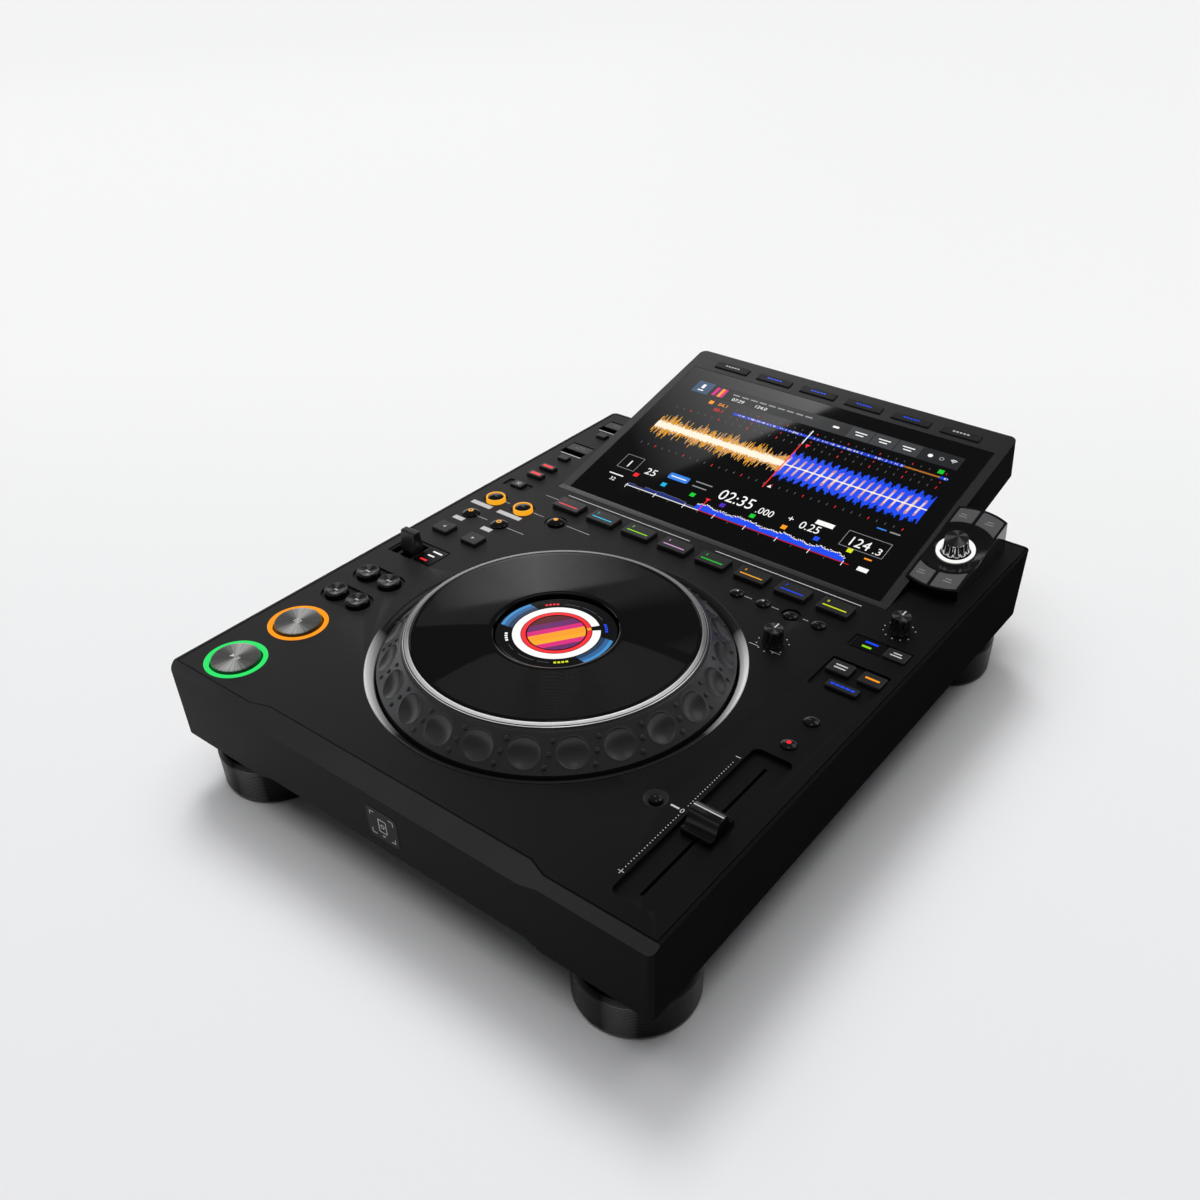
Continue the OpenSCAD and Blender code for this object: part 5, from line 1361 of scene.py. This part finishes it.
def sun(name, energy, spread, aim):
    data = bpy.data.lights.new(name, "SUN")
    data.energy, data.angle = energy, math.radians(spread)
    obj = show(name, data)
    obj.rotation_mode = "QUATERNION"
    obj.rotation_quaternion = Vector(aim).to_track_quat("-Z", "Y")
    obj.visible_glossy = False


def sky():
    """Pale where the camera sees it, and near the horizon in a gloss; dim
    elsewhere."""
    pale, dim = 0.85, 0.08
    world = bpy.data.worlds.new("world")
    bpy.context.scene.world = world
    world.use_nodes = True
    n = Nodes(world.node_tree)
    back = n.tree.nodes["Background"].inputs
    back["Color"].default_value = (0.95, 0.97, 1.0, 1)
    height = n.parts(n.place("Generated"))[2]
    band = n.ramp(height, From_Min=0.2, From_Max=0.32, To_Min=pale, To_Max=0.0)
    rays = n.node("LightPath").outputs
    view = rays["Is Camera Ray"]
    seen = n.math("MAXIMUM", view, rays["Is Glossy Ray"])
    seen = n.math("MAXIMUM", seen, rays["Is Transmission Ray"])
    level = n.math("MAXIMUM", band, n.math("MULTIPLY", view, pale))
    n.tree.links.new(n.math("MULTIPLY_ADD", level, seen, dim), back["Strength"])


def lights():
    sun("broad_key", 1.9, 70, (0.2, -0.15, -1))
    sun("key", 1.0, 20, (0.45, -0.45, -1))
    aimed_card("deck_card", (-2.03, 1.17, 0.65), (0, 0, 0.1), (2.2, 0.75), 1.0, 1.0)
    edge_card("platter_card", (-1.198, 0.927, 1.124), (-0.891, 1.237, 1.081),
              (-0.501, 0.391, -0.772), 0.3, 0.05, 0.1, 0.1, 2.0, 0.38, 0.4)
    edge_card("screen_card", (-2.968, 4.055, 5.383), (-3.901, 3.049, 5.434),
              (-0.566, 0.491, -0.662), 0.75, 0.5, 0.15, 0.1, 1.9, 0.3, 0.6)
    aimed_card("bezel_card", (0.9, 1.6, 1.9), (0, 0, 0.1), (1.4, 1.4), 0.9, 0.9)
    aimed_card("top_card", (0.25, -0.25, 2.6), (0, 0, 0.1), (0.6, 0.6), 1.2, 1.2)


camera()
floor()
sky()
lights()
bpy.context.scene.view_settings.view_transform = "Standard"
